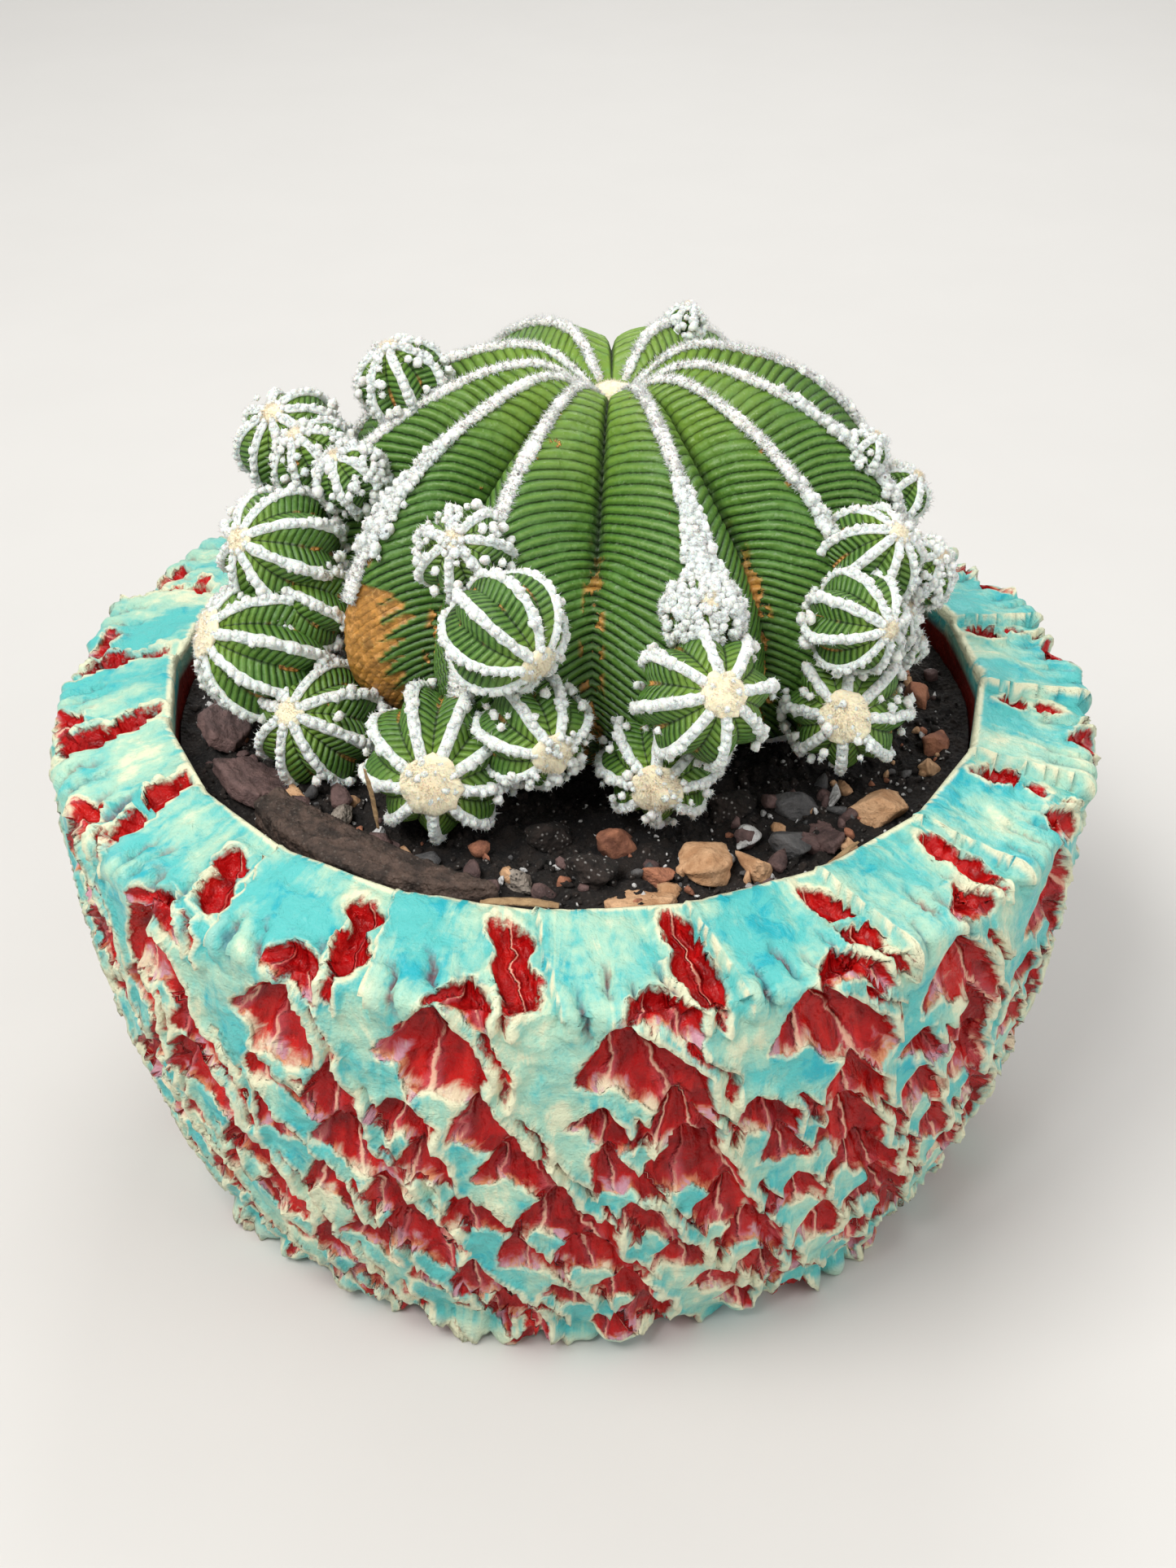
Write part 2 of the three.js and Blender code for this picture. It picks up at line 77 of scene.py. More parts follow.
def lattice_value(i, j, k, seed):
    """A repeatable number from -1 to 1 for whole lattice coordinates."""
    n = (i * 374761393 + j * 668265263 + k * 1274126177 + seed * 974634541) & 0xFFFFFFFF
    n = ((n ^ (n >> 13)) * 1103515245) & 0xFFFFFFFF
    return ((n ^ (n >> 16)) & 0xFFFFFF) / 8388607.5 - 1.0


def noise(points, size, seed):
    """Lattice values blended smoothly between the corners of cells of this size: -1 to 1."""
    q = np.asarray(points) / size
    cell = np.floor(q).astype(np.int64)
    f = smooth(q - cell)
    total = 0.0
    for corner in range(8):
        a, b, c = corner & 1, (corner >> 1) & 1, (corner >> 2) & 1
        share = (f[..., 0] if a else 1 - f[..., 0]) * (f[..., 1] if b else 1 - f[..., 1])
        share = share * (f[..., 2] if c else 1 - f[..., 2])
        total = total + share * lattice_value(cell[..., 0] + a, cell[..., 1] + b, cell[..., 2] + c, seed)
    return total


def layered_noise(points, size, seed, layers=4):
    """Noise summed over halving cell sizes, each layer half as strong as the one before."""
    points = np.asarray(points)
    total = 0.0
    for layer in range(layers):
        total = total + noise(points, size / 2**layer, seed + layer) / 2**layer
    return total


def around(azimuth, radius, height):
    """Points at an azimuth in degrees, a radius and a height about the bowl's axis."""
    a = np.radians(azimuth)
    parts = np.broadcast_arrays(radius * np.sin(a), -radius * np.cos(a), height)
    return np.stack(parts, axis=-1).astype(float)


def unit(v):
    return v / np.maximum(np.linalg.norm(v, axis=-1, keepdims=True), 1e-9)


def hump(x, width):
    """A bump of height 1 at 0 that fades to both sides: exp(-(x / width)^2)."""
    return np.exp(-((x / width) ** 2))


def turn_from(azimuth, start):
    """Degrees from one azimuth to another, between -180 and 180."""
    return (azimuth - start + 180) % 360 - 180


def line_length(points):
    """How far each point of a flat polyline lies along it."""
    return np.concatenate([[0], np.cumsum(np.hypot(*np.diff(points, axis=0).T))])


# ---- meshes ----------------------------------------------------------------------------------
def wrapped_faces(rows, columns, wrap_rows=False):
    """Quads of a grid whose columns close on themselves, and whose rows do too if asked."""
    last = rows if wrap_rows else rows - 1
    v, u = np.meshgrid(np.arange(last), np.arange(columns), indexing="ij")
    v2, u2 = (v + 1) % rows, (u + 1) % columns
    quads = [v * columns + u, v * columns + u2, v2 * columns + u2, v2 * columns + u]
    return np.stack(quads, axis=-1).reshape(-1, 4)


def capped(grid, first, last):
    """Vertices and faces of a column-wrapped grid (rows, columns, 3) closed by two pole points."""
    rows, columns = grid.shape[:2]
    u = np.arange(columns)
    u2 = (u + 1) % columns
    base = (rows - 1) * columns
    start = np.stack([u2, u, np.full(columns, rows * columns)], axis=-1)
    end = np.stack([base + u, base + u2, np.full(columns, rows * columns + 1)], axis=-1)
    vertices = np.concatenate([grid.reshape(-1, 3), [first], [last]])
    return vertices, (wrapped_faces(rows, columns), np.concatenate([start, end]))


def with_poles(fields):
    """Fields of a grid with a value for each pole point: the mean of the row beside it."""
    return {name: np.append(v.ravel(), [v[0].mean(), v[-1].mean()]) for name, v in fields.items()}


def signed_volume(vertices, faces):
    """Volume under a closed surface: positive when its faces point outwards."""
    total = 0.0
    for f in faces:
        for k in range(1, f.shape[1] - 1):
            a, b, c = vertices[f[:, 0]], vertices[f[:, k]], vertices[f[:, k + 1]]
            total += np.einsum("ij,ij->i", a, np.cross(b, c)).sum()
    return total


def new_piece(name, vertices, faces, material, slot, fields=None, replaces=(), sharp=()):
    """Puts millimetre vertices, face arrays and per-vertex fields into an object that rides the frame.

    Edges that lie within one of the sharp sets of vertex numbers, each a range, keep a crease.
    """
    vertices = np.asarray(vertices, dtype=float).reshape(-1, 3)
    faces = [np.asarray(f) for f in faces if len(f)]
    if signed_volume(vertices - vertices.mean(axis=0), faces) < 0:
        faces = [f[:, ::-1] for f in faces]
    mesh = bpy.data.meshes.new(name)
    mesh.vertices.add(len(vertices))
    mesh.vertices.foreach_set("co", (vertices * MM).astype(np.float32).ravel())
    loops = np.concatenate([f.ravel() for f in faces])
    sizes = np.concatenate([np.full(len(f), f.shape[1]) for f in faces])
    mesh.loops.add(len(loops))
    mesh.loops.foreach_set("vertex_index", loops.astype(np.int32))
    mesh.polygons.add(len(sizes))
    mesh.polygons.foreach_set("loop_start", (np.cumsum(sizes) - sizes).astype(np.int32))
    mesh.update(calc_edges=True)
    for field, values in (fields or {}).items():
        layer = mesh.attributes.new(field, "FLOAT", "POINT")
        layer.data.foreach_set("value", np.asarray(values, dtype=np.float32).ravel())
    mesh.shade_smooth()
    if sharp:
        ends = np.empty(len(mesh.edges) * 2, np.int32)
        mesh.edges.foreach_get("vertices", ends)
        ends = ends.reshape(-1, 2)
        crease = np.zeros(len(ends), bool)
        for low, high in sharp:
            crease |= ((ends >= low) & (ends < high)).all(axis=1)
        mesh.attributes.new("sharp_edge", "BOOLEAN", "EDGE").data.foreach_set("value", crease)
    mesh.materials.append(material)
    piece = bpy.data.objects.new(name, mesh)
    bpy.context.scene.collection.objects.link(piece)
    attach(piece, "root")
    if replaces:
        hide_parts(*replaces)


def sphere(rows, columns):
    """Unit directions of a closed sphere, poles last, and its faces. Rows run down the polar angle."""
    polar = np.pi * (np.arange(rows) + 1) / (rows + 1)
    turn = 2 * np.pi * np.arange(columns) / columns
    p, t = np.meshgrid(polar, turn, indexing="ij")
    grid = np.stack([np.sin(p) * np.cos(t), np.sin(p) * np.sin(t), np.cos(p)], axis=-1)
    return capped(grid, [0, 0, 1], [0, 0, -1])


def many(copies, faces, centres):
    """Many small closed shapes, given about 0 as (copy, vertex, 3), moved to their centres."""
    offset = (np.arange(len(centres)) * copies.shape[1])[:, None, None]
    moved = [(f[None] + offset).reshape(-1, f.shape[1]) for f in faces]
    return (copies + centres[:, None, :]).reshape(-1, 3), moved


def spikes(roots, directions, lengths, width):
    """Hairs: each is a closed three-sided spike from its root along its direction."""
    directions = unit(directions)
    helper = np.where(np.abs(directions[:, 2:]) < 0.8, [[0, 0, 1.0]], [[1.0, 0, 0]])
    side = unit(np.cross(directions, helper))
    other = np.cross(directions, side)
    turn = 2 * np.pi * np.arange(3) / 3
    ring = side[:, None] * np.cos(turn)[:, None] + other[:, None] * np.sin(turn)[:, None]
    base = roots[:, None] + ring * (width / 2)
    tip = (roots + directions * lengths[:, None])[:, None]
    vertices = np.concatenate([base, tip], axis=1)
    one = np.array([[0, 1, 3], [1, 2, 3], [2, 0, 3], [2, 1, 0]])
    faces = (one[None] + 4 * np.arange(len(roots))[:, None, None]).reshape(-1, 3)
    return vertices.reshape(-1, 3), faces


def joined(parts):
    """Several (vertices, face arrays) as one list of vertices and face arrays."""
    vertices, faces, start = [], [], 0
    for points, groups in parts:
        vertices.append(points)
        faces += [np.asarray(g) + start for g in groups]
        start += len(points)
    threes = [f for f in faces if f.shape[1] == 3]
    fours = [f for f in faces if f.shape[1] == 4]
    return np.concatenate(vertices), [np.concatenate(g) for g in (fours, threes) if g]


# ---- material nodes --------------------------------------------------------------------------
class Finish:
    """A node material under construction. Every helper adds nodes and returns an output socket."""

    def __init__(self, name, roughness=0.5, **values):
        self.material = bpy.data.materials.new(name)
        self.material.use_nodes = True
        self.tree = self.material.node_tree
        self.shader = self.tree.nodes["Principled BSDF"]
        self.shader.inputs["Roughness"].default_value = roughness
        for socket, value in values.items():
            self.shader.inputs[socket.replace("_", " ")].default_value = value
        self.place = self.tree.nodes.new("ShaderNodeTexCoord").outputs["Object"]

    def _feed(self, socket, value):
        if isinstance(value, bpy.types.NodeSocket):
            self.tree.links.new(value, socket)
        elif socket.type == "RGBA":
            socket.default_value = (*value, 1.0)
        else:
            socket.default_value = value

    def field(self, name):
        node = self.tree.nodes.new("ShaderNodeAttribute")
        node.attribute_name = name
        return node.outputs["Fac"]

    def vector(self, *fields):
        """Three fields, in millimetres, as a place for noise."""
        node = self.tree.nodes.new("ShaderNodeCombineXYZ")
        for socket, field in zip(node.inputs, fields):
            self._feed(socket, self.times(self.field(field), MM))
        return node.outputs["Vector"]

    def noise(self, size, detail=4.0, rough=0.55, distortion=0.0, stretch=None, place=None):
        """Noise whose features are about size millimetres; stretch scales its axes."""
        node = self.tree.nodes.new("ShaderNodeTexNoise")
        node.inputs["Scale"].default_value = 1 / (size * MM)
        node.inputs["Detail"].default_value = detail
        node.inputs["Roughness"].default_value = rough
        node.inputs["Distortion"].default_value = distortion
        place = place or self.place
        if stretch:
            mapping = self.tree.nodes.new("ShaderNodeMapping")
            mapping.inputs["Scale"].default_value = stretch
            self.tree.links.new(place, mapping.inputs["Vector"])
            place = mapping.outputs["Vector"]
        self.tree.links.new(place, node.inputs["Vector"])
        return node.outputs["Fac"]

    def cells(self, size):
        node = self.tree.nodes.new("ShaderNodeTexVoronoi")
        node.inputs["Scale"].default_value = 1 / (size * MM)
        self.tree.links.new(self.place, node.inputs["Vector"])
        return node.outputs["Distance"]

    def math(self, operation, a, b=0.0):
        node = self.tree.nodes.new("ShaderNodeMath")
        node.operation = operation
        self._feed(node.inputs[0], a)
        self._feed(node.inputs[1], b)
        return node.outputs[0]

    def times(self, a, b):
        return self.math("MULTIPLY", a, b)

    def plus(self, a, b):
        return self.math("ADD", a, b)

    def swing(self, value, amount):
        """A value around 0.5 turned into one around 0, made larger by an amount."""
        return self.times(self.math("SUBTRACT", value, 0.5), amount)

    def band(self, value, low, high, to_low=0.0, to_high=1.0):
        """The value mapped from low..high to to_low..to_high with smooth ends."""
        node = self.tree.nodes.new("ShaderNodeMapRange")
        node.interpolation_type = "SMOOTHSTEP"
        self._feed(node.inputs["Value"], value)
        for socket, number in zip(("From Min", "From Max", "To Min", "To Max"), (low, high, to_low, to_high)):
            node.inputs[socket].default_value = number
        return node.outputs["Result"]

    def mix(self, share, a, b):
        node = self.tree.nodes.new("ShaderNodeMix")
        node.data_type = "RGBA"
        self._feed(node.inputs["Factor"], share)
        self._feed(node.inputs[6], a)
        self._feed(node.inputs[7], b)
        return node.outputs[2]

    def bump(self, *layers):
        """Bumps from (height, millimetres) pairs, one over the other."""
        normal = None
        for height, depth in layers:
            node = self.tree.nodes.new("ShaderNodeBump")
            node.inputs["Strength"].default_value = 1.0
            node.inputs["Distance"].default_value = depth * MM
            self._feed(node.inputs["Height"], height)
            if normal:
                self.tree.links.new(normal, node.inputs["Normal"])
            normal = node.outputs["Normal"]
        self.tree.links.new(normal, self.shader.inputs["Normal"])

    def colour(self, socket):
        self.tree.links.new(socket, self.shader.inputs["Base Color"])

    def roughness(self, socket):
        self.tree.links.new(socket, self.shader.inputs["Roughness"])


def tint(colour, factor, lift=0.0):
    """A colour made darker or lighter by a factor and lifted towards white."""
    return tuple(min(1.0, factor * c + lift) for c in colour)


# ---- settings --------------------------------------------------------------------------------
def colour_setting(name, description, default):
    return FloatVectorProperty(
        name=name, description=description, default=default, subtype="COLOR", size=3, min=0, max=1
    )


def length_setting(name, description, default):
    return FloatProperty(name=name, description=description + ", in millimetres", default=default, min=0)


class CactusBowlSettings(bpy.types.PropertyGroup):
    turquoise: colour_setting("Turquoise", "Main glaze", (0.095, 0.47, 0.45))
    mint: colour_setting("Mint", "Glaze where it runs thin and pale", (0.37, 0.60, 0.46))
    pool: colour_setting("Pool", "Glaze where it gathers", (0.010, 0.36, 0.43))
    cream: colour_setting("Cream", "Glaze that breaks over an edge", (0.74, 0.72, 0.50))
    red: colour_setting("Red", "Glaze in the gouges and inside", (0.46, 0.004, 0.005))
    gouge_depth: length_setting("Gouge depth", "Depth of the largest gouge", 5.2)
    lip_height: length_setting("Lip height", "How far a torn lip stands out", 1.35)
    columns: IntProperty(name="Columns", description="Gouge chains around the wall", default=20, min=4)
    pieces_around: IntProperty(name="Resolution", description="Mesh columns around", default=720, min=48)


class CactusStemSettings(bpy.types.PropertyGroup):
    skin: colour_setting("Skin", "Green of the flanks", (0.060, 0.160, 0.022))
    # The young green is also the painted light on the tops of the cross ridges.
    young_skin_and_ridge_light: colour_setting("Young skin and ridge light", "Green near the crown", (0.17, 0.29, 0.035))
    # painted shade: the dark green low on the stem and offsets, also the base of the painted shade in grooves
    # and furrows
    shaded_skin: colour_setting("Shaded skin", "Green low on the stem", (0.020, 0.065, 0.014))
    cork: colour_setting("Cork", "Scars and the corky patch", (0.58, 0.27, 0.055))
    wool: colour_setting("Wool", "Felt on the crests", (0.94, 0.93, 0.885))
    crown_wool: colour_setting("Crown wool", "Felt in a crown", (0.96, 0.80, 0.57))
    ridge_pitch: length_setting("Ridge pitch", "Distance between cross ridges", 1.75)
    ridge_height: length_setting("Ridge height", "Height of a cross ridge", 0.5)


class CactusGroundSettings(bpy.types.PropertyGroup):
    soil: colour_setting("Soil", "Moist dark mix", (0.018, 0.012, 0.009))
    tan: colour_setting("Tan stone", "Sandstone grit", (0.72, 0.44, 0.25))
    rust: colour_setting("Red stone", "Red-brown grit", (0.46, 0.19, 0.105))
    grey: colour_setting("Grey stone", "Grey grit", (0.13, 0.125, 0.125))
    pumice: colour_setting("Pumice", "Speckled pumice", (0.36, 0.31, 0.26))
    perlite: colour_setting("Perlite", "White grains", (0.80, 0.80, 0.79))
    bark: colour_setting("Bark", "Weathered bark", (0.105, 0.066, 0.050))
    slate: colour_setting("Slate", "Purple-brown chips", (0.17, 0.100, 0.092))
    clod: colour_setting("Clod", "Crumbly clods and crumbs", (0.030, 0.020, 0.016))
    crumbs: IntProperty(name="Crumbs", description="Loose crumbs on the soil", default=1500, min=0)
    grit: IntProperty(name="Grit", description="Small stones on the soil", default=330, min=0)


class CactusStageSettings(bpy.types.PropertyGroup):
    floor: colour_setting("Floor", "Plain floor", (0.62, 0.61, 0.59))
    sky: FloatProperty(name="Sky", description="Strength of the even light", default=0.52, min=0)
    lamp: FloatProperty(name="Lamp", description="Power of the main soft light, in watts", default=8.4, min=0)
    lens: FloatProperty(name="Lens", description="Focal length of the camera", default=54.2, unit="CAMERA")
    pitch: FloatProperty(name="Pitch", description="How far the camera looks down, in degrees", default=33.7)


# ---- bowl ------------------------------------------------------------------------------------
POT_RADIUS, POT_BASE_RADIUS = 85.0, 62.3
RIM_OUTER_Z, RIM_INNER_Z, RIM_INNER_RADIUS, RIM_WIDTH = 82.1, 86.8, 65.6, 20.0
WALL_BEND, WALL_SQUARENESS, WALL_THICKNESS = 1.77, 1.68, 9.5
FLOOR_Z, FOOT_HEIGHT, FOOT_WIDTH, DRAIN_RADIUS, LIP_UNDERSIDE_Z = 12.0, 5.0, 9.0, 8.0, 74.0
WALL_ROWS, RIM_ROWS, INNER_ROWS = 116, 40, 14
# Radius and height of the rows inside the clay where the wall's mesh and the rim's mesh are closed.
HIDDEN_ROWS = np.array([[77.0, 77.5], [72.3, 41.0], [58.5, 2.5]])
SLIT_PLACES = (0.14, 0.31, 0.48, 0.64)  # slits of one shingle, as shares of its width
KNOB_COUNT, KNOB_DROP, KNOB_RADIUS = 74, (78, 86), 68  # drips round the base
TILE_AZIMUTH = -2.7  # a boundary between two shingles of the rim
CHAIN_AZIMUTH = -12.5  # the top of one chain of gouges
# Gouges of one chain: (drop below the rim's edge, turn in degrees, width, length), in millimetres.
MAIN_CHAIN = [
    (1.0, 0.0, 17, 15), (15.5, 4.6, 11, 12), (25.0, 5.2, 13.5, 12), (37.0, 9.5, 13.5, 10.5),
    (47.0, 13.5, 12.5, 10), (56.5, 18.0, 11, 9.5), (66.0, 22.0, 10, 9), (76.0, 26.0, 9, 7.5),
]
SIDE_CHAIN = [
    (17.5, -3.6, 9.5, 7.5), (25.5, -3.0, 8, 11), (38.0, 2.0, 9, 10), (49.0, 7.0, 8.5, 9),
    (60.0, 12.0, 8, 8.5), (70.5, 17.0, 7.5, 7.5),
]
# One more gouge above each chain, over the rim's edge.
BROW = [(-5.0, 2.2, 10, 6.5)]
# Fixed tones of the glaze.
# The brightest red is a painted highlight streaked over the red glaze. The dark inside red is painted shade
# on the bowl's inner wall.
BRIGHT_SPOT, SHADED_INSIDE_RED, HIGHLIGHT_RED = (0.03, 0.34, 0.42), (0.16, 0.012, 0.008), (0.62, 0.014, 0.010)
SLIT_BLUE, SLIT_RED = (0.06, 0.17, 0.22), (0.22, 0.03, 0.05)
# The pink comb tone is a painted sheen beside each comb ridge. The pale comb tone is glaze thinning over the
# ridge, with a painted highlight along it.
PAINTED_COMB_SHEEN, COMB_LINE = (0.60, 0.13, 0.16), (0.82, 0.48, 0.34)
RUST_FRINGE, LILAC_FRINGE = (0.76, 0.42, 0.20), (0.55, 0.34, 0.42)
FLAP_FROM = 0.25  # gouges with a flap above this have a second, narrow tear along their right side
FOOT_SLANT = 0.45  # how much further down a gouge runs on its right side


def wall_radius(z):
    """The bowl's outer radius: it swells quickly from the base and levels off at the rim."""
    drop = np.clip(1 - z / RIM_OUTER_Z, 0, 1)
    swell = (1 - drop**WALL_BEND) ** (1 / WALL_SQUARENESS)
    return POT_BASE_RADIUS + (POT_RADIUS - POT_BASE_RADIUS) * swell


def along(points, count):
    """A polyline resampled at even steps of its own length, without its last point."""
    points = np.asarray(points, dtype=float)
    reach = line_length(points)
    where = np.linspace(0, reach[-1], count + 1)[:count]
    return np.stack([np.interp(where, reach, points[:, k]) for k in range(2)], axis=-1)


def bowl_outline():
    """The closed section (radius, height) from the foot up the wall, over the rim and back inside.

    Returns the points and the drop: the distance along the outside below the rim's outer edge, which is
    negative on the rim. Corners are softened by averaging neighbours.
    """
    rise = np.linspace(0, 1, 400) ** 1.6
    wall = along(np.stack([wall_radius(RIM_OUTER_Z * rise), RIM_OUTER_Z * rise], axis=-1), WALL_ROWS)
    rim = along([(POT_RADIUS, RIM_OUTER_Z), (RIM_INNER_RADIUS, RIM_INNER_Z)], RIM_ROWS)
    z = np.linspace(LIP_UNDERSIDE_Z, FLOOR_Z + 6, 5)
    under = np.stack([wall_radius(z) - WALL_THICKNESS, z], axis=-1)
    under[0, 0] = RIM_INNER_RADIUS
    lip = along([(RIM_INNER_RADIUS, RIM_INNER_Z), (RIM_INNER_RADIUS, LIP_UNDERSIDE_Z)], INNER_ROWS)
    foot = POT_BASE_RADIUS - FOOT_WIDTH
    underside = [
        (foot - 4.5, FLOOR_Z), (DRAIN_RADIUS, FLOOR_Z), (DRAIN_RADIUS, FOOT_HEIGHT),
        (foot - 2, FOOT_HEIGHT), (foot, 0), (POT_BASE_RADIUS - 1, 0),
    ]
    points = np.concatenate([wall, rim, lip, under, underside])
    outside = WALL_ROWS + RIM_ROWS + 2
    for _ in range(5):
        neighbours = (points[:outside] + points[2:outside + 2]) / 2
        points[1:outside + 1] = (points[1:outside + 1] + neighbours) / 2
    points[0] = (POT_BASE_RADIUS, 0.35)
    reach = line_length(points)
    return points, reach[WALL_ROWS] - reach


def gouge_list(count, rng):
    """Every gouge as (azimuth, drop, width, length, lean, flap), the chains repeated round the wall."""
    found = []
    for k in range(count):
        for drop, turn, width, length in MAIN_CHAIN + SIDE_CHAIN + BROW:
            jitter, flap = rng.uniform(-1, 1, 5), rng.uniform()
            azimuth = CHAIN_AZIMUTH + 360 / count * k + turn + 1.3 * jitter[0]
            size = width * (1 + 0.2 * jitter[1]), length * (1 + 0.14 * jitter[2])
            lean = 0.12 + 0.36 * jitter[4]
            found.append((azimuth, drop + 1.1 * jitter[3], *size, lean, flap))
    return found


def carve(azimuth, drop, radius, gouges, wobble, depth_of):
    """Fields of the torn gouges on a (row, column) grid.

    Each gouge is a wedge with its apex up: its half width grows with the distance y below the apex, its
    sides and head are steep, and its floor ramps out to the surface at its slanting, toothed foot.
    Returned are the cut, the lip outside its edges, the signed distance into it, and its own turn and
    progress coordinates.
    """
    shape = wobble[0].shape
    cut, lip = np.zeros(shape), np.zeros(shape)
    inside, fan, progress = np.full(shape, -5.0), np.zeros(shape), np.zeros(shape)
    for at, top, width, length, lean, flap in gouges:
        rows = np.flatnonzero((drop > top - 5) & (drop < top + length + 0.3 * width + 4))
        turn = turn_from(azimuth, at)
        columns = np.flatnonzero(np.abs(np.radians(turn)) * POT_RADIUS < width * 0.5 + 8)
        here = np.ix_(rows, columns)
        y = drop[rows][:, None] - top + wobble[1][here]
        x = np.radians(turn[columns])[None] * radius[rows][:, None] + wobble[0][here] - lean * y
        half = width / 2 * np.clip(y / (0.7 * length), 0, 1) ** 0.8 + 0.5
        edge = np.maximum((np.abs(x) - half) * 0.85, -y)
        angle = np.arctan2(x, y + 2.5)
        teeth = 0.10 * np.sin(7 * angle + 5 * flap) + 0.06 * np.sin(17 * angle)
        travel = (y - FOOT_SLANT * x) / length + teeth
        within = np.minimum(-edge, (1 - travel) * length * 0.8)
        ramp = np.clip(1 - travel, 0, 1) ** 0.6
        deep = depth_of * (width / 17) ** 0.55
        floor = deep * smooth(-edge / 1.3) * ramp
        combing = 5.5 * angle + 3 * flap
        combs = -1.0 * (1 - np.abs(np.sin(combing))) ** 1.5 * smooth(-edge / 2) * ramp
        right = 0.55 + 0.45 * np.tanh(x / 2.0)
        fade = (1 - smooth((travel - 0.75) / 0.45)) * smooth((y + 3.5) / 2)
        raised = hump(edge - 0.7, 0.62) * right * fade
        strip = 0.6 - np.abs(edge - 2.3) * 0.9 - 2.0 * smooth((0.2 - x / width) / 0.1)
        strip = strip - 2.0 * smooth((0.3 - y / length) / 0.1) - 3.0 * (flap < FLAP_FROM)
        strip = strip - 2.0 * smooth((travel - 0.7) / 0.2)
        beside = 0.9 * hump(edge - 3.5, 0.7) * smooth((strip + 2.6) / 2) * fade
        raised = np.maximum(raised, beside)
        within = np.maximum(within, strip)
        newer = within > inside[here]
        fan[here] = np.where(newer, combing, fan[here])
        progress[here] = np.where(newer, np.clip(travel, -0.5, 1.5), progress[here])
        inside[here] = np.maximum(inside[here], within)
        tear = 1.1 * smooth((strip + 0.1) / 0.6)
        cut[here] = np.maximum(cut[here], np.maximum(floor + combs, tear))
        lip[here] = np.maximum(lip[here], raised)
    return cut, lip, inside, fan, progress


def rim_shingles(azimuth, drop, count, rng, wobble):
    """Fields of the rim's overlapping shingles: a saw tooth of height round the rim, a red notch at each
    boundary, and short slits between. q runs from the outer edge (0) to the inner edge (1).

    Returned are the step, the cut, the lip, the notch, the slit, the border and each notch's combing.
    """
    pitch = 360 / count
    q = -drop[:, None] / RIM_WIDTH
    tile = (azimuth[None] - TILE_AZIMUTH + 3.0 * (q - 0.4)) / pitch + 0.03 * wobble[0]
    share = tile - np.floor(tile)
    number = np.floor(tile).astype(int) % count
    width = np.radians(pitch) * (POT_RADIUS - 19 * np.clip(q, 0, 1))
    on_rim = smooth((q + 0.25) / 0.3) * smooth((1.05 - q) / 0.12)
    border = hump(np.minimum(share, 1.4 * (1 - share) + 0.02) * width, 0.65)
    step = 1.8 * (0.5 - share) + 0.35 * hump(share * width, 0.9)
    shift, size = rng.uniform(-1, 1, count)[number], rng.uniform(0.75, 1.15, count)[number]
    slant = rng.uniform(-0.3, 0.2, count)[number]
    y = drop[:, None] + 9.5 + 1.5 * shift + wobble[1]
    x = (share - 0.85 - 0.02 * shift) * width + wobble[0] - slant * y
    waist = 1.3 * hump(y - 2.5 * shift, 1.7)
    notch = 3.3 - waist - (np.abs(x) ** 2.5 + np.abs(y * 3.0 / (6.8 * size)) ** 2.5) ** (1 / 2.5)
    bridge = np.where(shift < 0.1, -1.1, 0.9) - np.abs(y - 1.5 * shift)
    notch = notch - 3.5 * smooth(bridge / 0.6)
    cut = 2.6 * smooth(notch / 0.9) * on_rim
    lip = hump(-notch - 0.5, 0.55) * (0.45 + 0.35 * np.tanh(-x))
    slit, crest = np.full(cut.shape, -3.0), np.zeros(cut.shape)
    for k, place in enumerate(SLIT_PLACES):
        nudge = rng.uniform(-1, 1, count)[number]
        sx = (share - place - 0.03 * nudge) * width + 0.6 * wobble[0]
        sy = drop[:, None] + 1.6 * (k % 2) + 2.6 + 2.2 * nudge
        reach = np.abs(sy) * (0.17 + 0.03 * nudge)
        slit = np.maximum(slit, 0.8 - np.maximum(np.abs(sx), reach) - 0.15 * wobble[1])
        crest = np.maximum(crest, hump(sx + 1.7, 0.8) * (1 - smooth((reach - 0.6) / 0.5)))
    cut = cut + 1.7 * smooth(slit / 0.6)
    edge_wave = 1.1 * hump(drop[:, None], 5.0)
    step = step * on_rim + edge_wave * (0.4 * crest + 0.9 * (0.4 - share))
    return step, cut, lip * on_rim, np.where(on_rim > 0.3, notch, -3.0), slit, border * on_rim, 0.9 * x


def base_knobs(azimuth, drop, rng):
    """Rounded drips round the base: the highest of many round bumps at seeded places."""
    total = np.zeros((len(drop), len(azimuth)))
    for k in range(KNOB_COUNT):
        at, low = 360 / KNOB_COUNT * k + rng.uniform(-1.6, 1.6), rng.uniform(*KNOB_DROP)
        size, height = rng.uniform(2.4, 4.5), rng.uniform(1.5, 3.9)
        turn = turn_from(azimuth, at)
        x = np.radians(turn)[None] * KNOB_RADIUS
        bump = height * np.clip(1 - (x**2 + (drop[:, None] - low) ** 2) / size**2, 0, 1) ** 0.65
        total = np.maximum(total, bump)
    return total


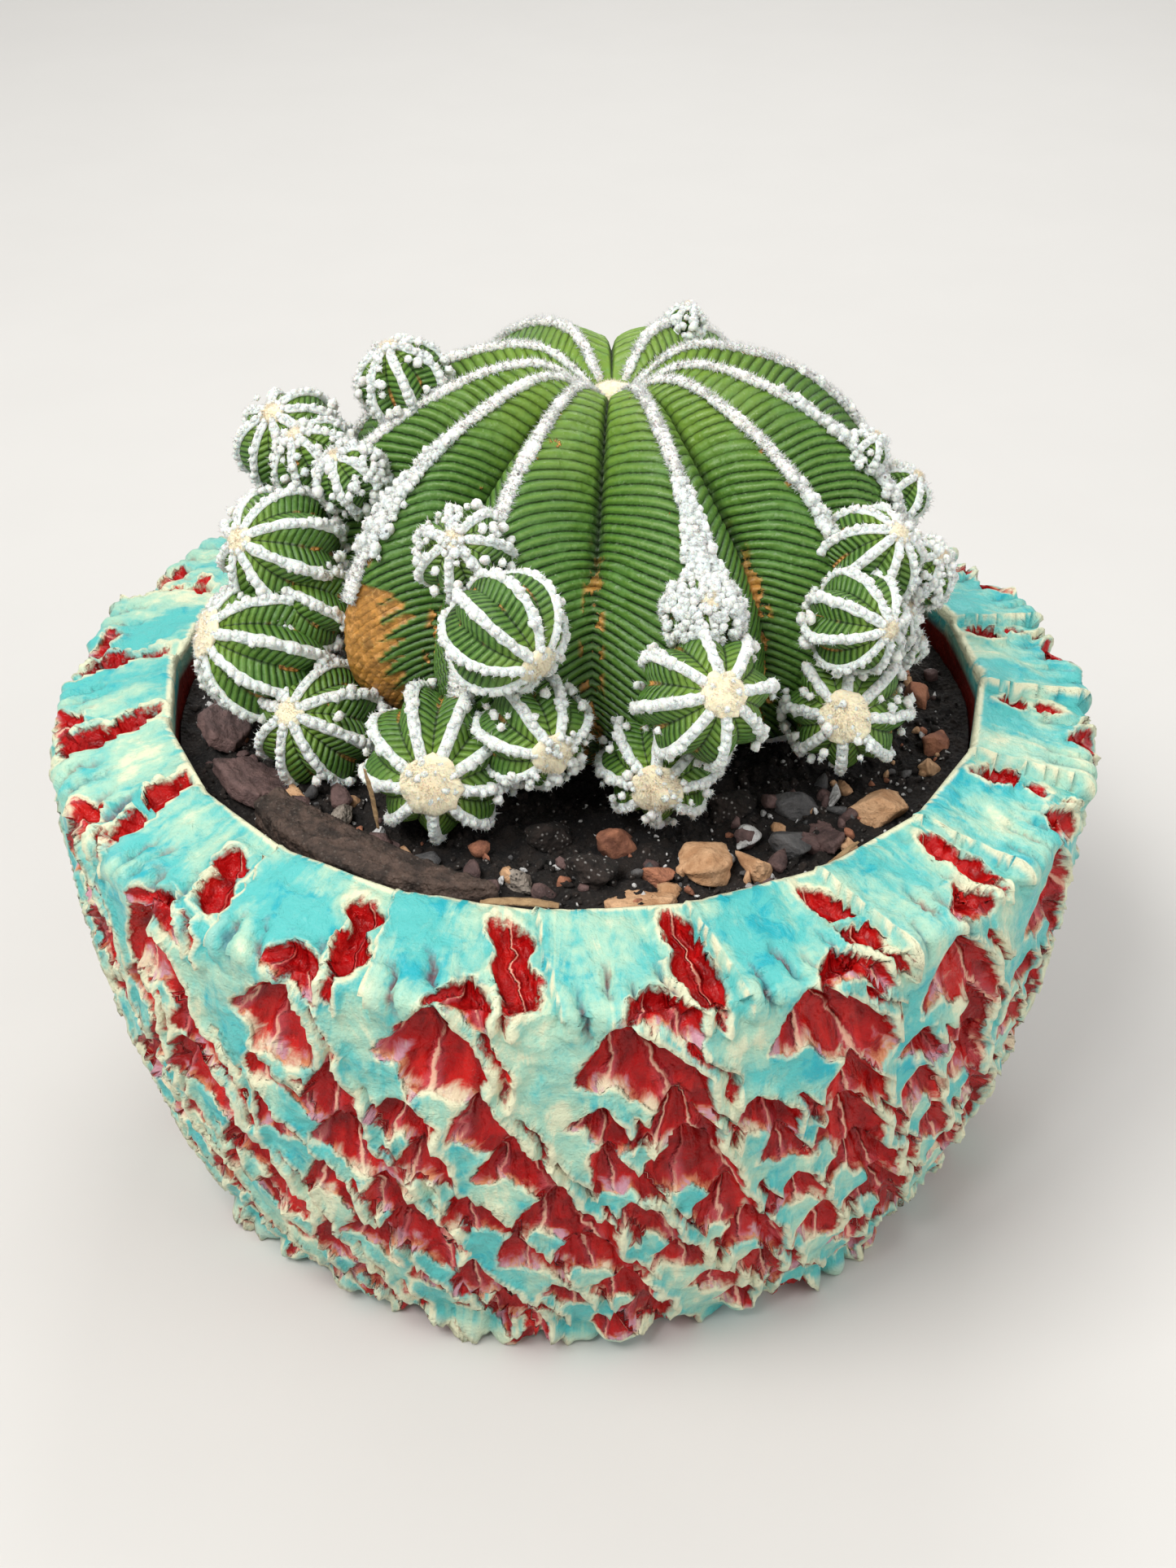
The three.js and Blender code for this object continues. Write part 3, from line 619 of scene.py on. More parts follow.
def bowl_surface(settings):
    """The bowl as a grid closed both ways: its outline turned about the axis and pushed along its own
    normal by shingles, gouges, lips, knobs and noise. Lips also slide down, so they overhang."""
    outline, drop = bowl_outline()
    rng = np.random.default_rng(BOWL_SEED)
    azimuth = np.linspace(-180, 180, settings.pieces_around, endpoint=False)
    plain = around(azimuth[None], outline[:, :1], outline[:, 1:])
    slope = unit(np.roll(outline, -1, axis=0) - np.roll(outline, 1, axis=0))
    normal = around(azimuth[None], slope[:, 1:], -slope[:, :1])
    upward = around(azimuth[None], slope[:, :1], slope[:, 1:])
    coarse = layered_noise(plain, 9.0, 3)
    fine = layered_noise(plain, 2.6, 5)
    sideways = 0.9 * coarse + 0.5 * fine
    wobble = sideways, 0.9 * layered_noise(plain, 8.0, 8) + 0.5 * layered_noise(plain, 2.4, 9)
    gouges = gouge_list(settings.columns, rng)
    torn = carve(azimuth, drop, outline[:, 0], gouges, wobble, settings.gouge_depth)
    cut, lip, inside, fan, progress = torn
    shingles = rim_shingles(azimuth, drop, settings.columns, rng, wobble)
    step, rim_cut, rim_lip, notch, slit, border, rim_fan = shingles
    outer = (np.arange(len(drop)) < WALL_ROWS + RIM_ROWS)[:, None] * smooth(outline[:, 1:] / 3.0)
    edge_fade = smooth((drop[:, None] + 20.5) / 3.0)
    knobs = base_knobs(azimuth, drop, rng)
    push = step + knobs + 0.55 * coarse + 0.22 * fine + 0.18 * layered_noise(plain, 1.6, 12, 2)
    push = push + settings.lip_height * np.maximum(lip, rim_lip) * (1 - smooth(inside / 0.6))
    push = (push - np.maximum(cut, rim_cut)) * outer * edge_fade
    surface = plain + normal * push[..., None]
    surface = surface - upward * (0.8 * lip * outer * edge_fade)[..., None]
    tile = 360 / settings.columns
    facets = np.cos(np.radians(((azimuth - TILE_AZIMUTH) % tile) - 180 / settings.columns))
    inner_edge = hump(drop + RIM_WIDTH, 6.0)[:, None]
    surface[..., :2] *= 1 + (inner_edge * (1.0 / facets - 1.0)[None])[..., None]
    surface[..., 2] = np.maximum(surface[..., 2], 0.0)

    def spread(values):
        return np.broadcast_to(values, slit.shape)

    fields = {
        "red": np.maximum(inside, notch),
        "fan": np.where(notch > inside, rim_fan, fan),
        "progress": np.where(notch > inside, 0.35, progress),
        "lip": np.maximum(lip, rim_lip),
        "slit": slit,
        "inner": spread(smooth((-drop[:, None] - 22.0) / 1.5)),
        "relief": push,
        "border": np.maximum(border, hump(drop[:, None] + (RIM_WIDTH - 0.4), 1.3)),
        "around_x": spread(POT_RADIUS * np.sin(np.radians(azimuth))),
        "around_y": spread(POT_RADIUS * np.cos(np.radians(azimuth))),
        "drop": spread(drop[:, None]),
    }
    return surface, fields


def glaze_finish(s):
    """Running glaze: mottled turquoise and mint, bright pools, cream where it breaks over a lip, deep red in
    the gouges streaked with a painted highlight, comb lines fanning from each apex that are pale glaze with a
    painted highlight on each ridge and a painted sheen beside it, a rust and lilac fringe where the red
    thins, and painted shade as a darker red on the inner wall."""
    f = Finish("running_glaze", 0.2, Coat_Weight=0.06, Coat_Roughness=0.05, IOR=1.29)
    brushed = f.vector("around_x", "around_y", "drop")
    large, medium, small = f.noise(13, 5), f.noise(5, 5, 0.6, 0.6), f.noise(1.3, 4, 0.65)
    streak = f.noise(4.5, 5, 0.62, 0.8, (1.0, 1.0, 0.3), brushed)
    thin = f.plus(f.times(large, 0.62), f.times(streak, 0.38))
    thin = f.plus(thin, f.swing(small, 0.12))
    body = f.mix(f.band(thin, 0.44, 0.58), s.turquoise, s.mint)
    pooled = f.times(f.band(medium, 0.52, 0.66), f.band(thin, 0.54, 0.44))
    body = f.mix(f.times(pooled, 0.85), body, s.pool)
    body = f.mix(f.band(thin, 0.56, 0.64, 0.0, 0.75), body, s.cream)
    body = f.mix(f.band(f.field("relief"), 0.9, 2.6, 0.0, 0.5), body, s.cream)
    body = f.mix(f.band(small, 0.60, 0.76, 0.0, 0.4), body, BRIGHT_SPOT)
    border = f.times(f.field("border"), f.band(streak, 0.32, 0.52, 0.35, 1.0))
    body = f.mix(f.band(border, 0.3, 0.75, 0.0, 0.9), body, s.cream)
    slit = f.band(f.plus(f.field("slit"), f.times(small, 0.5)), 0.2, 0.9, 0.0, 0.8)
    body = f.mix(slit, body, f.mix(f.band(medium, 0.42, 0.56), SLIT_BLUE, SLIT_RED))
    ragged = f.plus(f.field("red"), f.swing(medium, 1.9))
    ragged = f.plus(ragged, f.swing(small, 1.0))
    rim_cream = f.times(f.band(ragged, -0.85, -0.2), f.band(streak, 0.40, 0.58, 0.2, 0.95))
    body = f.mix(rim_cream, body, s.cream)
    body = f.mix(f.band(f.field("lip"), 0.45, 0.85, 0.0, 0.8), body, s.cream)
    fan = f.plus(f.field("fan"), f.swing(medium, 1.4))
    comb = f.math("ABSOLUTE", f.math("SINE", fan))
    combing = f.math("SINE", f.times(fan, 5.0))
    deep = f.mix(f.band(medium, 0.35, 0.62), tint(s.red, 0.5), s.red)
    # painted highlight: streaks of brighter red over the red glaze
    deep = f.mix(f.band(streak, 0.48, 0.66, 0.0, 0.7), deep, HIGHLIGHT_RED)
    progress = f.plus(f.field("progress"), f.swing(medium, 0.9))
    # pale glaze on the comb ridges, with a painted highlight along them
    lines = f.times(f.band(comb, 0.20, 0.05), f.band(streak, 0.42, 0.54, 0.1, 0.9))
    lines = f.times(lines, f.band(progress, 0.10, 0.40))
    # painted sheen: pink beside each comb ridge
    painted_sheen = f.times(f.band(comb, 0.6, 0.1, 0.0, 0.55), f.band(progress, 0.25, 0.9))
    deep = f.mix(painted_sheen, deep, PAINTED_COMB_SHEEN)
    deep = f.mix(lines, deep, COMB_LINE)
    fringe = f.mix(f.band(medium, 0.50, 0.58), RUST_FRINGE, LILAC_FRINGE)
    fringe = f.mix(f.band(streak, 0.47, 0.58), fringe, s.cream)
    deep = f.mix(f.band(progress, 0.84, 1.04, 0.0, 0.8), deep, fringe)
    mask = f.band(ragged, -0.15, 0.3)
    body = f.mix(mask, body, deep)
    # painted shade: the inner wall below the rim in a darker red
    body = f.mix(f.field("inner"), body, SHADED_INSIDE_RED)
    f.colour(body)
    f.roughness(f.band(f.plus(f.times(small, 0.5), mask), 0.1, 1.2, 0.34, 0.14))
    cliff = f.band(ragged, 0.5, -0.3)
    fine_combs, crests = f.times(combing, mask), f.times(f.band(comb, 0.5, 0.0), mask)
    grain = f.noise(0.5, 3)
    f.bump((cliff, 0.9), (medium, 0.9), (crests, 0.5), (fine_combs, 0.10), (small, 0.3), (grain, 0.1))
    return f.material


def ring_piece(name, rows, surface, fields, finish, downward):
    """A closed ring: some rows of the bowl, and three more inside the clay that join its two ends."""
    azimuth = np.linspace(-180, 180, surface.shape[1], endpoint=False)
    back = around(azimuth[None], *HIDDEN_ROWS.T[:, :, None])
    back = back if downward else back[::-1]
    grid = np.concatenate([surface[rows], back])
    values = {k: np.concatenate([v[rows], np.repeat(v[rows][-1:], 3, axis=0)]) for k, v in fields.items()}
    faces = [wrapped_faces(*grid.shape[:2], wrap_rows=True)]
    columns, last = grid.shape[1], len(rows) - 1
    ends = [(0, columns), (last * columns, (last + 1) * columns)]
    new_piece(name, grid, faces, finish, "glaze", values, ["pot"], ends)


class CACTUS_OT_bowl(bpy.types.Operator):
    """Model the carved bowl and give the drain mesh its plastic."""

    bl_idname = "cactus.bowl"
    bl_label = "Bowl"

    def execute(self, context):
        s = context.scene.cactus_bowl
        surface, fields = bowl_surface(s)
        finish = glaze_finish(s)
        seam = WALL_ROWS - 7
        rest = np.append(np.arange(seam, len(surface)), 0)
        ring_piece("carved_wall", np.arange(seam + 1), surface, fields, finish, True)
        ring_piece("rim_and_inside", rest, surface, fields, finish, False)
        plastic = Finish("drain_plastic", 0.55)
        plastic.colour(plastic.mix(plastic.noise(1.5), (0.012, 0.013, 0.012), (0.03, 0.032, 0.03)))
        plastic.bump((plastic.noise(0.4), 0.05))
        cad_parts["drain_mesh"].material_slots[0].material = plastic.material
        return {"FINISHED"}


# ---- mother stem -----------------------------------------------------------------------------
STEM_CENTRE = np.array([6.0, 9.0, 101.0])
STEM_RADIUS, STEM_TOP, STEM_BELOW = 50.0, 38.5, 26.0
CROWN_DIP, CROWN_DIP_RADIUS, NECK_ANGLE, ROOT_TIP_Z = 8.5, 8.2, 68.0, 40.0
FURROW_DEPTH, FURROW_ROUNDING = 8.5, 1.6
STEM_RIBS = np.array([-150.0, -112, -82, -56, -27, 18, 50, 80, 112, 150])
COLUMNS_PER_RIB, CROWN_ROWS, FLANK_ROWS, ROOT_ROWS = 30, 170, 84, 12
FELT_LINE = (190, 62, 0)  # rows of the crest line that the felt follows: crown, flank and root
FELT_SIDES, TUFT_HAIRS = 12, 10
# How much wider the felt grows low on a crest.
WOOL_RIBS_WIDE = {18.0: 1.0, -27.0: 0.35, 50.0: 0.3}
WOOL_ENDS = {-56.0: 62.0, -27.0: 74.0}  # how far down the felt of a crest runs, where it stops early
# Loose tufts along the low part of a crest: start, end, half width where they end, and number.
CREST_TUFTS = {
    18.0: (32, 60, 5.0, 330), 50.0: (38, 58, 2.2, 80), 80.0: (26, 56, 2.6, 110), 112.0: (30, 60, 2.2, 60),
    -27.0: (44, 58, 2.6, 70), -56.0: (30, 54, 3.4, 120),
}
# Fixed tones of the skin, and of the felt where painted shade darkens its hollows between tufts.
PALE_SPECK, BLOOM, DARK_SPECK = (0.42, 0.52, 0.30), (0.20, 0.30, 0.13), (0.035, 0.03, 0.035)
CREST_SHADE, CROWN_SHADE = (0.68, 0.655, 0.60), (0.86, 0.66, 0.42)
OFFSET_SHADE, OFFSET_CROWN_SHADE = (0.70, 0.675, 0.60), (0.86, 0.68, 0.44)
PATCH_AZIMUTH = -55.0  # the corky scar beside the left group of offsets


def stem_crest(crown_rows, flank_rows, root_rows):
    """The crest line from crown to root tip: radius, height, outward direction and length so far.

    A flattened dome with a sunken crown, then a tighter curve down to the neck, then a tapering root.
    """
    up = np.pi / 2 * np.linspace(0.012, 1, crown_rows)
    radius = STEM_RADIUS * np.sin(up)
    height = STEM_TOP * np.cos(up) - CROWN_DIP * hump(radius, CROWN_DIP_RADIUS)
    low = np.radians(NECK_ANGLE) * np.linspace(0, 1, flank_rows + 1)[1:]
    taper = np.linspace(0, 1, root_rows + 2)[1:-1]
    neck = STEM_RADIUS * np.cos(low[-1]), -STEM_BELOW * np.sin(low[-1])
    tip = ROOT_TIP_Z - STEM_CENTRE[2]
    radius = np.concatenate([radius, STEM_RADIUS * np.cos(low), neck[0] * (1 - taper)])
    height = np.concatenate([height, -STEM_BELOW * np.sin(low), neck[1] + (tip - neck[1]) * taper])
    out_r = np.concatenate([np.sin(up), np.cos(low), np.full(root_rows, np.cos(low[-1]))])
    out_z = np.concatenate([np.cos(up), -np.sin(low), np.full(root_rows, -np.sin(low[-1]))])
    reach = np.concatenate([[0], np.cumsum(np.hypot(np.diff(radius), np.diff(height)))])
    return radius, height, out_r, out_z, reach


def stem_surface(s):
    """The stem on a (row, column) grid: crests at uneven azimuths, furrows sunk by the phase to a power,
    and cross ridges |sin| of a coordinate that follows the crest and drops away from each furrow."""
    radius, height, out_r, out_z, reach = stem_crest(CROWN_ROWS, FLANK_ROWS, ROOT_ROWS)
    rows = np.arange(len(radius))
    share = np.arange(COLUMNS_PER_RIB) / COLUMNS_PER_RIB
    following = np.append(STEM_RIBS[1:], STEM_RIBS[0] + 360)
    azimuth = (STEM_RIBS[:, None] + (following - STEM_RIBS)[:, None] * share).ravel()
    phase = np.tile(1 - np.abs(1 - 2 * share), len(STEM_RIBS))[None]
    furrow = FURROW_DEPTH * smooth(radius / (STEM_RADIUS * 0.75))
    furrow = furrow * (1 - smooth((rows - CROWN_ROWS) / FLANK_ROWS))
    sunk = furrow[:, None] * phase**FURROW_ROUNDING
    sunk_radius = radius[:, None] - sunk * out_r[:, None]
    sunk_height = height[:, None] - sunk * out_z[:, None]
    plain = around(azimuth[None], sunk_radius, sunk_height)
    normal = around(azimuth[None], out_r[:, None], out_z[:, None])
    bend = 1.0 + 13.0 * smooth((reach - 4) / 78)[:, None]
    wander = 0.55 * layered_noise(plain, 9.0, 21, 2)
    along_rib = reach[:, None] - bend * (1 - phase) ** 1.35 + wander
    ridge = np.abs(np.sin(np.pi * along_rib / s.ridge_pitch)) ** 0.55
    fade = smooth((reach[:, None] - 5) / 7) * smooth((phase + 0.02) / 0.16)
    fade = fade * (1 - smooth((rows[:, None] - CROWN_ROWS - FLANK_ROWS * 0.8) / 20))
    deeper = 0.42 + 0.75 * smooth(reach / 75)[:, None]
    push = s.ridge_height * deeper * (ridge - 0.72) * fade
    push = push + 0.16 * layered_noise(plain, 2.2, 23) + 0.45 * noise(plain, 14.0, 25)
    patch_azimuth = np.abs(turn_from(azimuth[None], PATCH_AZIMUTH))
    every_other = np.abs((along_rib / (2 * s.ridge_pitch)) % 1 - 0.5) * 2
    teeth = 3.4 * every_other + 1.6 * noise(plain, 4.0, 27)
    upper_edge = reach[:, None] - 57 + 2.5 * noise(plain, 2.5, 29)
    patch = smooth((5.2 + teeth - patch_azimuth * 0.87) / 0.7) * smooth(upper_edge / 1.2)
    push = push - 0.45 * patch * fade
    pinch = smooth((phase - 0.9) / 0.1) * (1 - smooth((reach[:, None] - 38) / 16))
    push = push - 1.6 * (pinch * smooth(reach[:, None] / 12))
    surface = plain + normal * push[..., None] + STEM_CENTRE
    fields = {
        "course": along_rib / s.ridge_pitch,
        "ridged": fade * (1 - 0.75 * patch),
        "reach": np.broadcast_to(reach[:, None], push.shape),
        "phase": np.broadcast_to(phase, push.shape),
        "patch": patch,
    }
    return surface, fields


def skin_finish(name, s, ridge_shadow=1.0):
    """Waxy skin: young green at the crown, painted shade as a darker green low on the stem and on the lower
    half of each offset, painted shade in the grooves and painted light on the ridge tops, painted shade along
    the bottom of each furrow, pale specks, and corky scars where the patch field is set or along the bottom
    of a furrow."""
    f = Finish(name, 0.42, Subsurface_Weight=0.06, Subsurface_Scale=0.002, Specular_IOR_Level=0.45)
    f.shader.inputs["Subsurface Radius"].default_value = (0.4, 0.9, 0.25)
    reach, phase, ridged = f.field("reach"), f.field("phase"), f.field("ridged")
    wave = f.math("ABSOLUTE", f.math("SINE", f.times(f.field("course"), np.pi)))
    ridge = f.math("POWER", wave, 0.6)
    ridged = f.times(ridged, f.band(f.noise(6.5, 3), 0.34, 0.56, 0.5, 1.0))
    large, small, dust = f.noise(11, 4), f.noise(1.6, 4, 0.6), f.noise(0.35, 2, 0.7)
    crown_distance = f.plus(reach, f.swing(large, 26.0))
    green = f.mix(f.band(crown_distance, 8.0, 42.0), s.young_skin_and_ridge_light, s.skin)
    # painted shade: the lower stem and the lower half of each offset turn to a dark green
    green = f.mix(f.band(crown_distance, 62.0, 100.0), green, s.shaded_skin)
    green = f.mix(f.band(small, 0.45, 0.72, 0.0, 0.5), green, tint(s.skin, 1.5, 0.01))
    deep_low = f.band(reach, 8.0, 58.0, 0.42, 1.0)
    # painted shade in the grooves between cross ridges, stronger low on the stem
    shadow = f.band(ridge, 0.72, 0.22, 0.0, 0.9 * ridge_shadow)
    groove = f.times(shadow, f.times(ridged, deep_low))
    # painted light: the tops of the cross ridges lightened towards the young green
    green = f.mix(f.times(f.band(ridge, 0.86, 1.0, 0.0, 0.35), ridged), green, s.young_skin_and_ridge_light)
    green = f.mix(groove, green, tint(s.shaded_skin, 0.25))
    # painted shade along the bottom of each furrow, strongest high on the stem where the furrow is pinched
    pinched_furrow_shade = f.times(f.band(phase, 0.86, 1.0, 0.0, 0.85), f.band(reach, 58.0, 40.0, 0.35, 1.0))
    green = f.mix(pinched_furrow_shade, green, tint(s.shaded_skin, 0.3))
    green = f.mix(f.band(dust, 0.66, 0.76, 0.0, 0.55), green, PALE_SPECK)
    scar_place = f.times(f.band(phase, 0.86, 0.93), f.band(f.noise(3.4, 4), 0.50, 0.54))
    scar_place = f.times(scar_place, f.band(reach, 38.0, 56.0))
    stray = f.band(f.noise(7.5, 5, 0.65), 0.70, 0.72)
    beside_wool = f.times(f.band(phase, 0.17, 0.10), f.band(f.noise(6.0, 4, 0.6), 0.60, 0.63))
    stray = f.math("MAXIMUM", stray, f.times(beside_wool, f.band(reach, 6.0, 14.0)))
    scar = f.math("MAXIMUM", f.math("MAXIMUM", scar_place, stray), f.field("patch"))
    cork = f.mix(f.band(f.noise(2.4, 5, 0.7), 0.36, 0.62), tint(s.cork, 0.45), s.cork)
    cork = f.mix(f.band(small, 0.52, 0.66, 0.0, 0.7), cork, tint(s.cork, 1.25, 0.05))
    green = f.mix(scar, green, cork)
    bloom = f.times(f.band(f.noise(0.8, 4, 0.7), 0.52, 0.7, 0.0, 0.4), f.band(large, 0.4, 0.6))
    green = f.mix(bloom, green, BLOOM)
    f.colour(green)
    f.roughness(f.band(small, 0.3, 0.8, 0.38, 0.62))
    f.bump((f.times(ridge, ridged), 0.55), (small, 0.16), (f.noise(0.55, 3), 0.08), (scar, 0.25))
    return f.material


def wool_finish(name, main, shade, speck=0.0, depth=0.4):
    """Felt: fibres as fine noise, painted shade between tufts and among the fibres, with sheen, and now and
    then a dark speck.
    """
    soft = {"Subsurface_Weight": 0.25, "Subsurface_Scale": 0.0012, "Specular_IOR_Level": 0.1}
    f = Finish(name, 0.95, Sheen_Weight=0.35, Sheen_Roughness=0.6, **soft)
    tuft, fibre = f.noise(0.9, 4, 0.65), f.noise(0.22, 3, 0.7)
    # painted shade: darker felt between tufts and in fine gaps among the fibres
    colour = f.mix(f.band(tuft, 0.26, 0.5), shade, main)
    colour = f.mix(f.band(fibre, 0.58, 0.85, 0.0, 0.25), colour, shade)
    if speck:
        dots = f.times(f.band(f.cells(2.1), 0.16, 0.08), speck)
        colour = f.mix(dots, colour, DARK_SPECK)
    f.colour(colour)
    f.bump((tuft, depth), (fibre, depth / 2))
    return f.material


def crest_band(azimuth, rng, widen, end):
    """Felt along one crest and its hairs: a flat ellipse carried along the crest line, ruffled by noise.

    Returns the closed band and the closed spikes of its fringe, which lean out to both sides.
    """
    radius, height, out_r, out_z, reach = stem_crest(*FELT_LINE)
    keep = (reach > 3.0) & (height > -21.5) & (reach < end)
    radius, height, out_r, out_z, reach = (a[keep] for a in (radius, height, out_r, out_z, reach))
    path = around(azimuth, radius, height) + STEM_CENTRE
    normal = around(azimuth, out_r, out_z)
    across = np.broadcast_to(around(azimuth + 90, 1.0, 0.0), normal.shape)
    low = smooth((reach - 52) / 22)
    half = (0.7 + 0.6 * smooth(reach / 60) + widen * 2.6 * low) * smooth((reach - 1.5) / 3.0)
    half = half * (1 + 0.16 * noise(path, 3.0, 31))
    thick = 0.6 + 0.2 * smooth(reach / 50) + widen * 0.8 * low
    turn = 2 * np.pi * np.arange(FELT_SIDES) / FELT_SIDES
    ring = across[:, None] * (half[:, None] * np.cos(turn))[..., None]
    ring = ring + normal[:, None] * (thick[:, None] * np.sin(turn))[..., None]
    middle = path + normal * 0.15
    tube = middle[:, None] + ring
    lumps = 0.16 * np.cos(2 * np.pi * reach / 1.15)[:, None]
    ruffle = lumps + 0.22 * layered_noise(tube, 1.1, 33, 3) + 0.2 * noise(tube, 2.4, 35)
    tube = tube + unit(ring) * ruffle[..., None]
    band = capped(tube, middle[0], middle[-1])
    count = int(2900 * (1 + 0.5 * widen) * len(path) / 200)
    at, around_ring = rng.integers(0, len(path), count), rng.uniform(-0.15, 1.15, count) * np.pi
    spread = across[at] * (half[at] * np.cos(around_ring))[:, None]
    spread = spread + normal[at] * (thick[at] * np.sin(around_ring))[:, None]
    roots = middle[at] + spread * 0.9
    lean = unit(spread) + 0.6 * rng.normal(size=(count, 3))
    hairs, faces = spikes(roots, lean, rng.uniform(0.45, 1.15, count), 0.15)
    return band, (hairs, [faces])


def hairy_tufts(centres, sizes, facing, rng, seed):
    """Lumpy balls of felt about their centres, and hairs that lean the way each tuft faces."""
    directions, faces = sphere(*TUFT_MESH)
    lumps = 1 + 0.4 * noise(directions[None] + centres[:, None] * 3.1, 0.55, seed)
    balls = directions[None] * lumps[..., None] * sizes[:, None, None]
    pick = np.repeat(np.arange(len(centres)), TUFT_HAIRS)
    lean = unit(rng.normal(size=(len(pick), 3)) + 0.7 * facing[pick])
    roots = centres[pick] + lean * sizes[pick][:, None] * 0.75
    lengths = rng.uniform(0.35, 0.95, len(pick))
    hairs, hair_faces = spikes(roots, lean + 0.4 * rng.normal(size=lean.shape), lengths, 0.16)
    return [many(balls, faces, centres), (hairs, [hair_faces])]


def crest_tufts(azimuth, start, end, half_width, count, rng):
    """Tufts beside the low part of a crest. They stray further from the crest line towards its end, and
    there lie lower, because the skin falls away from the crest."""
    radius, height, out_r, out_z, reach = stem_crest(*FELT_LINE)
    where = start + (end - start) * rng.uniform(0, 1, count) ** 0.6
    share = (where - start) / (end - start)
    stray = rng.uniform(-1, 1, count) * (0.7 + (half_width - 0.7) * share**1.2)
    radius, height, out_r, out_z = (np.interp(where, reach, a) for a in (radius, height, out_r, out_z))
    normal, across = around(azimuth, out_r, out_z), around(azimuth + 90, 1.0, 0.0)
    fallen = FURROW_DEPTH * (np.abs(stray) / 14) ** FURROW_ROUNDING
    centres = around(azimuth, radius, height) + STEM_CENTRE + across * stray[:, None]
    centres = centres + normal * (rng.uniform(0.2, 1.0, count) - fallen)[:, None]
    return hairy_tufts(centres, rng.uniform(0.45, 0.95, count), normal, rng, 37)


def fuzzy_pad(centre, axis, radius, thickness, rng, hairs, seed):
    """A low mound of felt about a centre: a sphere squashed along its axis, ruffled, and full of hairs."""
    directions, faces = sphere(*PAD_MESH)
    axis = unit(np.asarray(axis, dtype=float))
    side = unit(np.cross(axis, [0.3, 0.5, 0.81]))
    basis = np.stack([side, np.cross(axis, side), axis])
    scale = np.array([radius, radius, thickness])
    points = (directions * scale) @ basis + centre
    swell = 1 + 0.16 * layered_noise(points, 1.1 + radius * 0.2, seed, 3)
    points = centre + (points - centre) * swell[:, None]
    facing = unit(rng.normal(size=(hairs, 3)))
    facing[:, 2] = np.abs(facing[:, 2])
    roots = (facing * scale * 0.85) @ basis + centre
    lean = facing @ basis + 0.6 * rng.normal(size=(hairs, 3))
    fuzz = spikes(roots, lean, rng.uniform(0.5, 1.0, hairs) * (0.5 + 0.2 * radius), 0.14)
    return [(points, faces), (fuzz[0], [fuzz[1]])]


class CACTUS_OT_stem(bpy.types.Operator):
    """Model the mother stem with its cross ridges, the felt on its crests and in its crown."""

    bl_idname = "cactus.stem"
    bl_label = "Mother stem"

    def execute(self, context):
        s = context.scene.cactus_stem
        surface, fields = stem_surface(s)
        first = STEM_CENTRE + (0, 0, STEM_TOP - CROWN_DIP)
        last = np.array([*STEM_CENTRE[:2], ROOT_TIP_Z])
        skin = skin_finish("stem_skin", s)
        stem = capped(surface, first, last)
        new_piece("ribbed_stem", *stem, skin, "stem_skin", with_poles(fields), ["cactus_stem"])
        rng = np.random.default_rng(STEM_SEED)
        wool = wool_finish("crest_felt", s.wool, CREST_SHADE, 0.8)
        ribs = [(a, rng, WOOL_RIBS_WIDE.get(a, 0.0), WOOL_ENDS.get(a, np.inf)) for a in STEM_RIBS.tolist()]
        groups = dict(zip(("crest_felt", "crest_hairs"), zip(*(crest_band(*rib) for rib in ribs))))
        tufts = [crest_tufts(a, *shape, rng) for a, shape in CREST_TUFTS.items()]
        groups["crest_tufts"] = sum(tufts, [])
        for name, parts in groups.items():
            new_piece(name, *joined(parts), wool, "stem_skin")
        crown = STEM_CENTRE + (0, 0, STEM_TOP - CROWN_DIP + 0.2)
        pad = fuzzy_pad(crown, (0, 0, 1), 3.6, 2.2, rng, 700, 41)
        felt = wool_finish("crown_felt", s.crown_wool, CROWN_SHADE, 0.0, 0.2)
        new_piece("crown_felt", *joined(pad), felt, "stem_skin")
        return {"FINISHED"}


